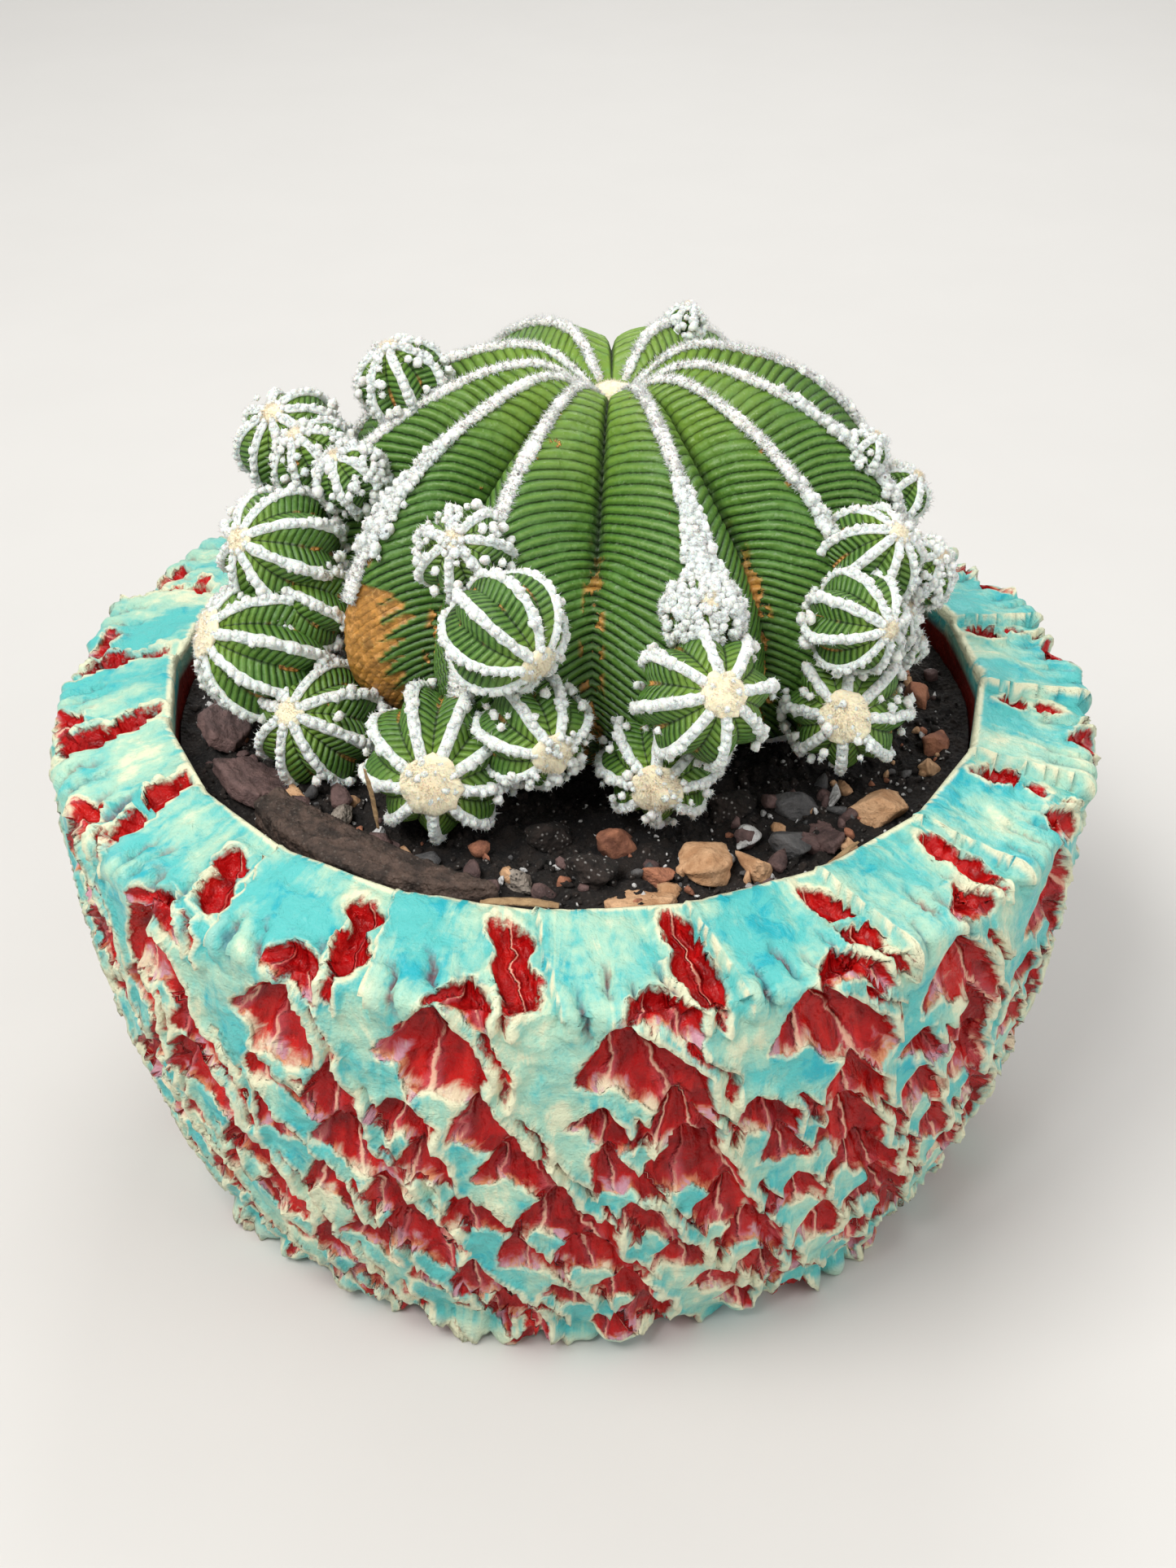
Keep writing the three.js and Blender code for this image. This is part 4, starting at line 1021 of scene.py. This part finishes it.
# ---- offsets ---------------------------------------------------------------------------------
# Name, middle, radius, where the crown points (azimuth, elevation), and number of ribs.
OFFSETS = [
    ("left_offset_low", (-49, -12, 97.5), 11.3, (-71, 25), 9),
    ("left_offset_at_soil", (-40, -20, 88), 10.2, (-35, 40), 8),
    ("left_offset_middle", (-46, -5.5, 111.5), 9.9, (-50, 30), 8),
    ("left_offset_high", (-46, 16, 119.5), 9, (-40, 60), 8),
    ("left_offset_inner_high", (-41, 6, 121), 7, (-70, 60), 7),
    ("left_offset_inner_low", (-42, -9, 104), 8, (-60, 40), 7),
    ("left_offset_bud", (-34.5, -3.5, 123), 5.5, (-71, 59), 6),
    ("left_offset_shoulder", (-27, 11, 132.5), 7.2, (-90, 70), 7),
    ("front_left_offset_top", (-16, -28, 122.7), 7.1, (-17, 47), 7),
    ("front_left_offset_middle", (-10, -39.5, 116.3), 9.1, (41, -14), 8),
    ("front_left_offset_low", (-6, -40, 99.5), 8.4, (25, 3), 7),
    ("front_left_offset_at_soil", (-20, -37, 92.5), 11.7, (-5, 12), 9),
    ("front_offset_bud", (19, -36, 117), 5.9, (15, 52), 6),
    ("front_offset_star", (19, -43, 107.5), 10.1, (18, 32), 8),
    ("front_offset_at_soil", (13, -38, 92.5), 9, (-5, 6), 8),
    ("right_offset_high", (45, -19, 117.5), 7.8, (54, 51), 8),
    ("right_offset_outer", (53, -13.5, 112), 5.8, (63, 45), 6),
    ("right_offset_inner", (47, -17, 106), 6.5, (60, 30), 7),
    ("right_offset_middle", (42, -30, 112.6), 7.7, (40, 14), 8),
    ("right_offset_low", (42, -26.5, 95.5), 9.7, (-8, 21), 8),
    ("right_offset_bud_low", (52, -17, 101), 2.7, (60, 33), 6),
    ("right_offset_back", (52, 5, 116), 4.7, (84, 51), 6),
    ("right_offset_bud_high", (46, 3, 124.5), 3.3, (80, 61), 6),
    ("crown_bud", (18, 26, 136.6), 2.8, (150, 70), 6),
]
# Offsets whose crown is a wide cushion of wool, with its share of the usual width.
BIG_CROWNS = {
    "left_offset_low": 1.5, "front_left_offset_at_soil": 1.7, "front_left_offset_middle": 1.3,
    "front_left_offset_low": 1.6, "front_offset_at_soil": 1.8, "right_offset_low": 1.7,
    "front_offset_star": 1.4,
}
PAD_HAIRS = 480
# Offsets that carry tufts all over, with their number.
WOOLLY_BUDS = {
    "front_offset_bud": 330, "left_offset_bud": 110, "left_offset_shoulder": 70, "crown_bud": 26,
    "right_offset_outer": 90, "right_offset_bud_low": 26, "right_offset_bud_high": 26,
    "front_left_offset_top": 80, "left_offset_inner_high": 60, "right_offset_inner": 60,
    "front_left_offset_low": 90, "front_offset_at_soil": 50, "right_offset_low": 40,
}
JOINT_TUFTS = 46  # tufts where an offset meets the stem
STRIP_ROWS, STRIP_SIDES = 32, 8  # mesh of the felt strip on each crest
OFFSET_HEIGHT, OFFSET_FURROW, OFFSET_ROWS, OFFSET_COLUMNS_PER_RIB = 0.92, 0.2, 46, 12


def crown_basis(crown):
    """Rows are an offset's side, front and crown directions; its crown points at (azimuth, elevation)."""
    azimuth, elevation = np.radians(crown[0]), np.radians(crown[1])
    level = np.cos(elevation)
    axis = np.array([np.sin(azimuth) * level, -np.cos(azimuth) * level, np.sin(elevation)])
    side = np.array([np.cos(azimuth), np.sin(azimuth), 0.0])
    return np.stack([side, np.cross(axis, side), axis])


def globe(polar, turn):
    """Points of a flattened unit globe: polar from its crown down, turn round it from its front."""
    across = np.sin(polar)
    return np.stack([across * np.sin(turn), -across * np.cos(turn), OFFSET_HEIGHT * np.cos(polar)], axis=-1)


def offset_surface(middle, radius, crown, ribs, s, seed):
    """A small ribbed globe, sunk between its crests, with cross ridges that drop from furrow to crest."""
    polar = np.pi * (np.arange(OFFSET_ROWS) + 1) / (OFFSET_ROWS + 1)
    columns = ribs * OFFSET_COLUMNS_PER_RIB
    share = np.arange(columns) / OFFSET_COLUMNS_PER_RIB
    phase = (1 - np.abs(1 - 2 * (share % 1)))[None]
    turn = 2 * np.pi * share / ribs
    p = polar[:, None]
    reach = radius * p
    pitch = max(0.85, s.ridge_pitch * (0.35 + 0.045 * radius))
    along_rib = reach - 0.16 * radius * (1 - phase) ** 1.2
    ridge = np.abs(np.sin(np.pi * along_rib / pitch)) ** 0.6
    fade = smooth(p / 0.5) * smooth((phase + 0.02) / 0.2)
    shell = radius * (1 - OFFSET_FURROW * phase**1.3 * np.sin(p)) + 0.028 * radius * (ridge - 0.7) * fade
    across = shell * np.sin(p) * np.sin(turn), -shell * np.sin(p) * np.cos(turn)
    local = np.stack(np.broadcast_arrays(*across, OFFSET_HEIGHT * shell * np.cos(p)), axis=-1)
    local = local * (1 + 0.02 * noise(local, radius * 0.6, seed))[..., None]
    basis = crown_basis(crown)
    surface = local @ basis + middle
    fields = {
        "course": along_rib / pitch,
        "ridged": fade,
        "reach": np.broadcast_to(reach * 36 / radius, ridge.shape),
        "phase": np.broadcast_to(phase, ridge.shape),
        "patch": np.zeros(ridge.shape),
    }
    poles = [np.array([0, 0, z * radius * OFFSET_HEIGHT]) @ basis + middle for z in (1, -1)]
    return surface, poles, fields


def bead_chain(middle, radius, crown, ribs, rng, seed, woolly):
    """Wool of one offset: a felt strip with a row of tufts on every crest, and hairs all over it.

    The strip is an ellipse carried along the crest; the tufts are lumpy balls at even steps along it. More
    tufts gather where the offset meets the stem, and a woolly bud carries some all over.
    """
    basis = crown_basis(crown)
    bead = 0.45 + 0.032 * radius
    count = int(np.pi * 0.88 * radius / (bead * 1.75))
    polar = np.tile(np.linspace(0.2, np.pi * 0.9, count), ribs) + rng.normal(0, 0.012, count * ribs)
    turn = np.repeat(2 * np.pi * np.arange(ribs) / ribs, count) + rng.normal(0, 0.025, count * ribs)
    outward = globe(polar, turn)
    on_crests = (outward * (radius + 0.2)) @ basis + middle
    crest_sizes = bead * (0.75 + 0.3 * np.sin(polar)) * rng.uniform(0.8, 1.2, len(turn))
    facing_stem = unit(STEM_CENTRE - [0, 0, 8] - middle)
    loose = unit(rng.normal(size=(woolly, 3)) + 0.25 * basis[2])
    joint = unit(rng.normal(size=(JOINT_TUFTS, 3)) * 0.55 + facing_stem)
    centres = np.concatenate([on_crests, loose * (radius + 0.1) + middle, joint * (radius + 0.4) + middle])
    loose_sizes = [rng.uniform(0.45, 0.85, woolly), rng.uniform(0.5, 1.0, JOINT_TUFTS)]
    sizes = np.concatenate([crest_sizes, *loose_sizes])
    facing = np.concatenate([unit(outward @ basis), loose, joint])
    parts = hairy_tufts(centres, sizes, facing, rng, seed)
    down = np.linspace(0.12, np.pi * 0.92, STRIP_ROWS)
    ring = 2 * np.pi * np.arange(STRIP_SIDES) / STRIP_SIDES
    half = (bead * 1.15 * np.clip(3.5 * np.sin(down[:, None]), 0.25, 1))[..., None]
    for rib in range(ribs):
        a = 2 * np.pi * rib / ribs
        out = globe(down, a)
        across = np.array([np.cos(a), np.sin(a), 0.0])
        tube = (out * (radius - 0.1))[:, None] + across * half * np.cos(ring)[None, :, None]
        tube = tube + out[:, None] * (0.7 * bead * np.sin(ring))[None, :, None]
        tube = (tube @ basis + middle) + 0.14 * layered_noise(tube, 0.9, seed + rib, 2)[..., None]
        parts.append(capped(tube, tube[0].mean(axis=0), tube[-1].mean(axis=0)))
    return parts


class CACTUS_OT_offsets(bpy.types.Operator):
    """Model every offset: its ribbed skin, the chains of woolly tufts and the felt of its crown."""

    bl_idname = "cactus.offsets"
    bl_label = "Offsets"

    def execute(self, context):
        s = context.scene.cactus_stem
        skin = skin_finish("offset_skin", s, 0.6)
        wool = wool_finish("offset_wool", s.wool, OFFSET_SHADE)
        felt = wool_finish("offset_crown_felt", s.crown_wool, OFFSET_CROWN_SHADE, 0.0, 0.2)
        rng = np.random.default_rng(OFFSET_SEED)
        for seed, (name, place, radius, crown, ribs) in enumerate(OFFSETS):
            middle = np.array(place, dtype=float)
            surface, poles, fields = offset_surface(middle, radius, crown, ribs, s, seed)
            body = capped(surface, *poles)
            new_piece(f"{name}_body", *body, skin, "offset_skin", with_poles(fields), [name])
            chain = bead_chain(middle, radius, crown, ribs, rng, 50 + seed, WOOLLY_BUDS.get(name, 0))
            new_piece(f"{name}_wool", *joined(chain), wool, "offset_skin")
            axis, full = crown_basis(crown)[2], BIG_CROWNS.get(name, 1.0)
            tip = middle + axis * radius * OFFSET_HEIGHT * 0.93 + axis * 0.25
            size = radius * 0.24 * full, radius * 0.07 + 0.35
            pad = fuzzy_pad(tip, axis, *size, rng, int(PAD_HAIRS * full), 90 + seed)
            new_piece(f"{name}_crown", *joined(pad), felt, "offset_skin")
        return {"FINISHED"}


# ---- soil and what lies on it ----------------------------------------------------------------
SOIL_EDGE_Z, SOIL_MOUND, SOIL_RADIUS = 79.5, 2.0, 65.2
SOIL_RINGS, SOIL_COLUMNS = 118, 420
SOIL_SIDE_Z = (76.0, 70.0)  # heights of the rows below the soil's edge
# Stones by finish. stone_tan_oval is red-brown in spite of its name.
STONE_KINDS = {
    "tan": [
        "stone_tan_large", "stone_tan_step", "stone_tan_wedge", "stone_tan_bead", "stone_tan_side",
        "stone_tan_behind",
    ],
    "rust": ["stone_tan_oval", "stone_red_front", "stone_red_side", "stone_red_back", "stone_rust_behind"],
    "grey": ["stone_grey_round", "stone_grey_wedge", "stone_grey_left", "stone_grey_behind"],
    "pumice": ["stone_speckled_front", "stone_speckled_left"],
    "perlite": ["perlite_right", "perlite_middle", "perlite_left"],
    "clod": ["clod_front_left", "clod_front", "clod_right"],
}
KIND_SLOT = {
    "tan": "stone_tan", "rust": "stone_rust", "grey": "stone_grey",
    "pumice": "stone_pumice", "perlite": "perlite", "clod": "soil_clod", "bark": "bark", "slate": "bark",
}
# How rounded a kind of stone is between its facets, and how rough on them, where it isn't 0.045.
BLUNTNESS = {"clod": 0.16, "perlite": 0.14, "pumice": 0.10}
ROUGHNESS = {"clod": 0.15, "perlite": 0.06, "pumice": 0.08, "tan": 0.08, "rust": 0.07}
# Material name and darker tone of each kind, and its specks, pits, shine and speck colour where it has any.
STONE_TONES = {
    "tan": ("tan_stone", (0.44, 0.23, 0.11)),
    "rust": ("red_stone", (0.20, 0.075, 0.045)),
    "grey": ("grey_stone", (0.05, 0.05, 0.052)),
    "pumice": ("pumice", (0.12, 0.09, 0.07), 0.9, 0.5),
    "perlite": ("perlite", (0.45, 0.44, 0.43), 0.15, 0.4),
    "clod": ("soil_clod", (0.007, 0.005, 0.004), 0.55, 0.3, 0.95, (0.40, 0.38, 0.36)),
    "bark": ("bark", (0.026, 0.017, 0.013), 0.14, 0.3, 0.8, (0.38, 0.33, 0.28)),
    "slate": ("slate", (0.07, 0.040, 0.038), 0.05, 0.0, 0.75),
    "soil": ("soil", (0.004, 0.003, 0.003), 0.10, 0.6, 0.95, (0.30, 0.28, 0.26)),
}
# Start, end, width and seed of the dry straws.
STRAWS = [
    ((-30.5, -47, 97.5), (-29.2, -45.5, 86), 1.0, 91),
    ((-13.5, -59, 82.2), (-2, -60.5, 82.6), 1.9, 93),
    ((36, -52, 81.6), (43, -44, 82.4), 0.9, 95),
]
# Kind, share and largest radius of the small stones and chips between the large ones.
GRIT = [
    ("slate", 0.3, 3.0), ("rust", 0.2, 2.4), ("tan", 0.18, 2.2), ("grey", 0.17, 2.4), ("perlite", 0.15, 1.1),
]
# Flat pieces and chips by finish.
FLAKES = {
    "bark": ["bark_strip", "bark_chip_back"],
    "slate": ["slate_chip_left", "bark_chip_left", "bark_chip_right"],
    "tan": ["stone_flake_tan", "stone_shard_tan"],
}


def soil_height(points):
    """Height of the soil surface: a low mound with lumps, crumbs and small hollows."""
    distance = np.hypot(points[..., 0], points[..., 1])
    flat = np.stack([points[..., 0], points[..., 1], np.zeros(distance.shape)], axis=-1)
    mound = SOIL_EDGE_Z + SOIL_MOUND * np.cos(np.pi / 2 * np.clip(distance / 64, 0, 1))
    lumps = 0.9 * layered_noise(flat, 7.0, 61, 3) + 0.9 * np.abs(layered_noise(flat, 2.4, 63, 3))
    return mound + lumps * smooth((66.5 - distance) / 3) - 0.3


def soil_surface():
    """A disc of soil: rings from the middle out follow the soil height, then drop inside the wall."""
    distance = np.concatenate([[2, 10, 18], np.linspace(22, SOIL_RADIUS, SOIL_RINGS)])
    azimuth = np.linspace(-180, 180, SOIL_COLUMNS, endpoint=False)
    top = around(azimuth[None], distance[:, None], 0.0)
    top[..., 2] = soil_height(top)
    side = around(azimuth[None], np.full((2, 1), SOIL_RADIUS), np.array(SOIL_SIDE_Z)[:, None])
    return np.concatenate([top, side])


def facet_shape(directions, seed, corners, softness, spread):
    """Angular lumps: along a direction the radius is the soft minimum of plane distances h / (n . d)."""
    rng = np.random.default_rng(seed)
    normals = unit(rng.normal(size=(corners, 3)))
    reach = rng.uniform(1 - spread, 1, corners)
    facing = np.clip(directions @ normals.T, 1e-3, None)
    distance = reach / facing
    return -softness * np.log(np.exp(-np.minimum(distance, 4) / softness).sum(axis=-1))


def stone_surface(node, seed, kind):
    """A stone fitted to its CAD box: an angular lump with layered noise, squashed to the box."""
    low, high = (np.array(c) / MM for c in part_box(node))
    centre, half = (low + high) / 2, (high - low) / 2
    directions, faces = sphere(*STONE_MESH)
    blunt = BLUNTNESS.get(kind, 0.045)
    radius = facet_shape(directions, seed, 16, blunt, 0.34)
    rough = ROUGHNESS.get(kind, 0.045)
    radius = radius * (1 + rough * layered_noise(directions * 3, 1.4, seed + 200, 5))
    points = directions * radius[:, None]
    spread = np.abs(points).max(axis=0)
    return centre + points / spread * half, faces


def stone_finish(name, colour, dark, speckle=0.0, pits=0.0, rough=0.85, speck=(0.02, 0.017, 0.015)):
    """Stone: two tones by layered noise, fine grain, optional specks and pits."""
    f = Finish(name, rough)
    large, grain, dust = f.noise(3.5, 5, 0.6, 0.3), f.noise(0.6, 4, 0.7), f.noise(0.25, 2, 0.7)
    tone = f.mix(f.band(large, 0.32, 0.68), dark, colour)
    tone = f.mix(f.band(grain, 0.58, 0.75, 0.0, 0.45), tone, tint(colour, 1.5, 0.03))
    tone = f.mix(f.band(dust, 0.66, 0.8, 0.0, 0.4), tone, tint(dark, 0.3))
    if speckle:
        tone = f.mix(f.times(f.band(f.cells(0.9), 0.30, 0.12), speckle), tone, speck)
    f.colour(tone)
    layers = [(large, 0.8), (f.noise(1.4, 4, 0.65), 0.4), (grain, 0.3)]
    if pits:
        layers.append((f.cells(0.8), pits))
    f.bump(*layers)
    return f.material


def scattered(count, rng, low=27.0, high=63.5):
    """Places on the soil, more of them where the ground shows: azimuth anywhere, distance by area."""
    distance = np.sqrt(rng.uniform(low**2, high**2, count))
    places = around(rng.uniform(-180, 180, count), distance, 0.0)
    places[:, 2] = soil_height(places)
    return places


def turned(count, rng):
    """Rotation matrices from random unit quaternions."""
    w, x, y, z = unit(rng.normal(size=(count, 4))).T
    rows = [
        [1 - 2 * (y * y + z * z), 2 * (x * y - z * w), 2 * (x * z + y * w)],
        [2 * (x * y + z * w), 1 - 2 * (x * x + z * z), 2 * (y * z - x * w)],
        [2 * (x * z - y * w), 2 * (y * z + x * w), 1 - 2 * (x * x + y * y)],
    ]
    return np.array(rows).transpose(2, 0, 1)


def loose_grains(places, sizes, rng, seed, sink, detail, shapes=4):
    """Small angular grains: a few faceted lumps, each copy stretched, turned its own way and part sunk."""
    directions, faces = sphere(*detail)
    parts = []
    for k in range(shapes):
        at, size = places[k::shapes], sizes[k::shapes]
        lump = directions * facet_shape(directions, seed + 11 * k, 12, 0.06, 0.4)[:, None] * 0.9
        stretch = rng.uniform(0.5, 1.0, (len(at), 1, 3))
        spin = turned(len(at), rng)
        grains = np.einsum("nvi,nij->nvj", lump[None] * stretch, spin) * size[:, None, None]
        lifted = at + np.stack([np.zeros(len(at))] * 2 + [size * (0.7 - sink)], axis=-1)
        parts.append(many(grains, faces, lifted))
    return joined(parts)


def flake_piece(node, finish, slot):
    """A flat chip: the CAD solid remeshed finely, then roughened along its normals with grain noise."""
    piece = bpy.data.objects.new(f"{node}_surface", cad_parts[node].data.copy())
    bpy.context.scene.collection.objects.link(piece)
    weld = piece.modifiers.new("weld", "WELD")
    weld.merge_threshold = 1e-5
    remesh = piece.modifiers.new("remesh", "REMESH")
    remesh.mode = "VOXEL"
    voxel, strength = (0.0005, 1.0) if node == "bark_strip" else (0.00036, 0.55)
    remesh.voxel_size = voxel
    shaped = bpy.data.meshes.new_from_object(piece.evaluated_get(bpy.context.evaluated_depsgraph_get()))
    bpy.data.objects.remove(piece)
    count = len(shaped.vertices)
    points, normals = np.empty(count * 3, np.float32), np.empty(count * 3, np.float32)
    shaped.vertices.foreach_get("co", points)
    shaped.vertices.foreach_get("normal", normals)
    points, normals = points.reshape(-1, 3) / MM, normals.reshape(-1, 3)
    turn = np.degrees(np.arctan2(points[:, 0], -points[:, 1]))
    distance = np.hypot(points[:, 0], points[:, 1])
    grain = np.stack([turn * 0.35, distance * 2.2, points[:, 2] * 2.2], axis=-1)
    push = 0.38 * layered_noise(grain, 3.0, 71) + 0.22 * layered_noise(points, 1.2, 73, 3)
    push = push + 0.35 * np.abs(noise(grain, 0.9, 75))
    points = points + normals * push[:, None] * strength
    faces = np.empty(len(shaped.polygons) * 4, np.int32)
    sides = {len(p.vertices) for p in shaped.polygons}
    if sides != {4}:
        raise RuntimeError(f"{node} remeshed to faces other than quads")
    shaped.loops.foreach_get("vertex_index", faces)
    bpy.data.meshes.remove(shaped)
    new_piece(f"{node}_surface", points, [faces.reshape(-1, 4)], finish, slot, None, [node])


def straw(start, end, width, seed):
    """A thin dry stalk: a flattened tube along a slightly bent line, tapering at both ends."""
    t = np.linspace(0, 1, 40)[:, None]
    start, end = np.array(start, float), np.array(end, float)
    path = start + (end - start) * t + 0.4 * np.sin(np.pi * t) * np.array([0.3, 0.2, 1.0])
    axis = unit(end - start)
    side = unit(np.cross(axis, [0, 0, 1.0]))
    other = np.cross(axis, side)
    turn = 2 * np.pi * np.arange(10) / 10
    size = width / 2 * (0.35 + 0.65 * np.sin(np.pi * np.clip(t, 0.03, 0.97)) ** 0.4)
    ring = side * np.cos(turn)[:, None] + other * 0.45 * np.sin(turn)[:, None]
    tube = path[:, None] + ring[None] * size[..., None]
    tube = tube + 0.1 * layered_noise(tube, 1.0, seed, 2)[..., None] * unit(ring)[None]
    return capped(tube, path[0], path[-1])


class CACTUS_OT_ground(bpy.types.Operator):
    """Model the soil, the stones, the bark and the loose crumbs and grains."""

    bl_idname = "cactus.ground"
    bl_label = "Soil and grit"

    def execute(self, context):
        s = context.scene.cactus_ground
        finishes = {
            kind: stone_finish(name, getattr(s, kind), *rest) for kind, (name, *rest) in STONE_TONES.items()
        }
        soil = capped(soil_surface(), [0, 0, SOIL_EDGE_Z], [0, 0, SOIL_SIDE_Z[-1]])
        new_piece("soil_surface", *soil, finishes["soil"], "soil", None, ["soil"])
        for kind, nodes in STONE_KINDS.items():
            for seed, node in enumerate(nodes):
                stone = stone_surface(node, seed * 7 + len(kind), kind)
                new_piece(f"{node}_surface", *stone, finishes[kind], KIND_SLOT[kind], None, [node])
        for kind, nodes in FLAKES.items():
            for node in nodes:
                flake_piece(node, finishes[kind], KIND_SLOT[kind])
        rng = np.random.default_rng(GROUND_SEED)
        places = scattered(s.crumbs, rng)
        sizes = rng.uniform(0.3, 1.3, s.crumbs) ** 1.3
        crumbs = loose_grains(places, sizes, rng, 81, 0.5, CRUMB_MESH)
        new_piece("soil_crumbs", *crumbs, finishes["clod"], "soil_clod")
        places = scattered(s.crumbs // 3, rng)
        specks = loose_grains(places, rng.uniform(0.15, 0.5, len(places)), rng, 82, 0.1, SPECK_MESH)
        new_piece("perlite_specks", *specks, finishes["perlite"], "perlite")
        for kind, share, largest in GRIT:
            count = int(s.grit * share)
            places = scattered(count, rng, 45.0, 61.5)
            sizes = 0.5 + (largest - 0.5) * rng.uniform(0, 1, count) ** 1.6
            grit = loose_grains(places, sizes, rng, 83, 0.35, GRIT_MESH, 6)
            new_piece(f"{kind}_grit", *grit, finishes[kind], KIND_SLOT[kind])
        dry = stone_finish("dry_straw", (0.50, 0.33, 0.17), (0.26, 0.15, 0.07))
        new_piece("dry_straws", *joined([straw(*shape) for shape in STRAWS]), dry, "bark")
        return {"FINISHED"}


# ---- stage -----------------------------------------------------------------------------------
CAMERA_PLACE = (0.0022, -0.3355, 0.2873)
SENSOR_WIDTH, CLIP_START = 36.0, 0.01
FLOOR_REACH = 8.0
SKY_COLOUR = (1.0, 0.99, 0.97, 1.0)
WARM, WHITE = (1.0, 0.98, 0.95), (1.0, 1.0, 1.0)
# Name, place, point it faces, size in metres, share of the main light's power, and colour.
LIGHTS = [
    ("main_light", (-0.45, -0.35, 0.95), (0, 0, 0.08), 0.5, 1.0, WARM),
    ("window_light", (-0.2, -0.55, 0.75), (0, 0, 0.06), 0.12, 0.18, WHITE),
    ("fill_light", (0.6, -0.4, 0.5), (0, 0, 0.08), 0.6, 0.25, WHITE),
    ("back_light", (0.1, 0.7, 0.7), (0, 0, 0.1), 0.5, 0.4, WHITE),
]


def soft_light(name, place, aim, size, power, colour):
    """A square area light at a place, turned to face a point."""
    lamp = bpy.data.lights.new(name, "AREA")
    lamp.size, lamp.energy, lamp.color = size, power, colour
    holder = bpy.data.objects.new(name, lamp)
    holder.location = place
    direction = np.array(aim) - np.array(place)
    tilt = np.arctan2(np.hypot(direction[0], direction[1]), -direction[2])
    holder.rotation_euler = Euler((tilt, 0, np.arctan2(-direction[0], direction[1])))
    bpy.context.scene.collection.objects.link(holder)


class CACTUS_OT_stage(bpy.types.Operator):
    """Add the plain floor, the even light, the soft lamps and the camera."""

    bl_idname = "cactus.stage"
    bl_label = "Stage"

    def execute(self, context):
        s = context.scene.cactus_stage
        mesh = bpy.data.meshes.new("floor")
        corners = [(x * FLOOR_REACH, y * FLOOR_REACH, 0) for x, y in ((-1, -1), (1, -1), (1, 1), (-1, 1))]
        mesh.from_pydata(corners, [], [(0, 1, 2, 3)])
        finish = Finish("floor", 0.8)
        finish.colour(finish.mix(finish.noise(40, 3), tint(s.floor, 0.96), s.floor))
        mesh.materials.append(finish.material)
        floor = bpy.data.objects.new("floor", mesh)
        context.scene.collection.objects.link(floor)
        world = bpy.data.worlds.new("even_light")
        world.use_nodes = True
        background = world.node_tree.nodes["Background"]
        background.inputs["Color"].default_value = SKY_COLOUR
        background.inputs["Strength"].default_value = s.sky
        context.scene.world = world
        for name, place, aim, size, share, colour in LIGHTS:
            soft_light(name, place, aim, size, s.lamp * share, colour)
        camera = bpy.data.cameras.new("camera")
        camera.lens = s.lens
        camera.sensor_width = SENSOR_WIDTH
        camera.clip_start = CLIP_START
        eye = bpy.data.objects.new("camera", camera)
        eye.location = CAMERA_PLACE
        eye.rotation_euler = (np.radians(90 - s.pitch), 0, 0)
        context.scene.collection.objects.link(eye)
        context.scene.camera = eye
        context.scene.view_settings.view_transform = "Standard"
        return {"FINISHED"}


# ---- add-on ----------------------------------------------------------------------------------
STEPS = (CACTUS_OT_bowl, CACTUS_OT_stem, CACTUS_OT_offsets, CACTUS_OT_ground, CACTUS_OT_stage)


class CACTUS_PT_panel(bpy.types.Panel):
    """The steps that build the potted cactus, in order."""

    bl_idname = "CACTUS_PT_panel"
    bl_label = "Potted round cactus"
    bl_space_type = "VIEW_3D"
    bl_region_type = "UI"
    bl_category = "Cactus"

    def draw(self, context):
        for step in STEPS:
            self.layout.operator(step.bl_idname)


SETTINGS = {
    "cactus_bowl": CactusBowlSettings,
    "cactus_stem": CactusStemSettings,
    "cactus_ground": CactusGroundSettings,
    "cactus_stage": CactusStageSettings,
}
CLASSES = (*SETTINGS.values(), *STEPS, CACTUS_PT_panel)


def register():
    for cls in CLASSES:
        bpy.utils.register_class(cls)
    for name, group in SETTINGS.items():
        setattr(bpy.types.Scene, name, PointerProperty(type=group))


def unregister():
    for name in SETTINGS:
        delattr(bpy.types.Scene, name)
    for cls in reversed(CLASSES):
        bpy.utils.unregister_class(cls)


def main():
    register()
    for step in ("bowl", "stem", "offsets", "ground", "stage"):
        getattr(bpy.ops.cactus, step)()
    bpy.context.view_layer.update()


if __name__ == "__main__":
    main()
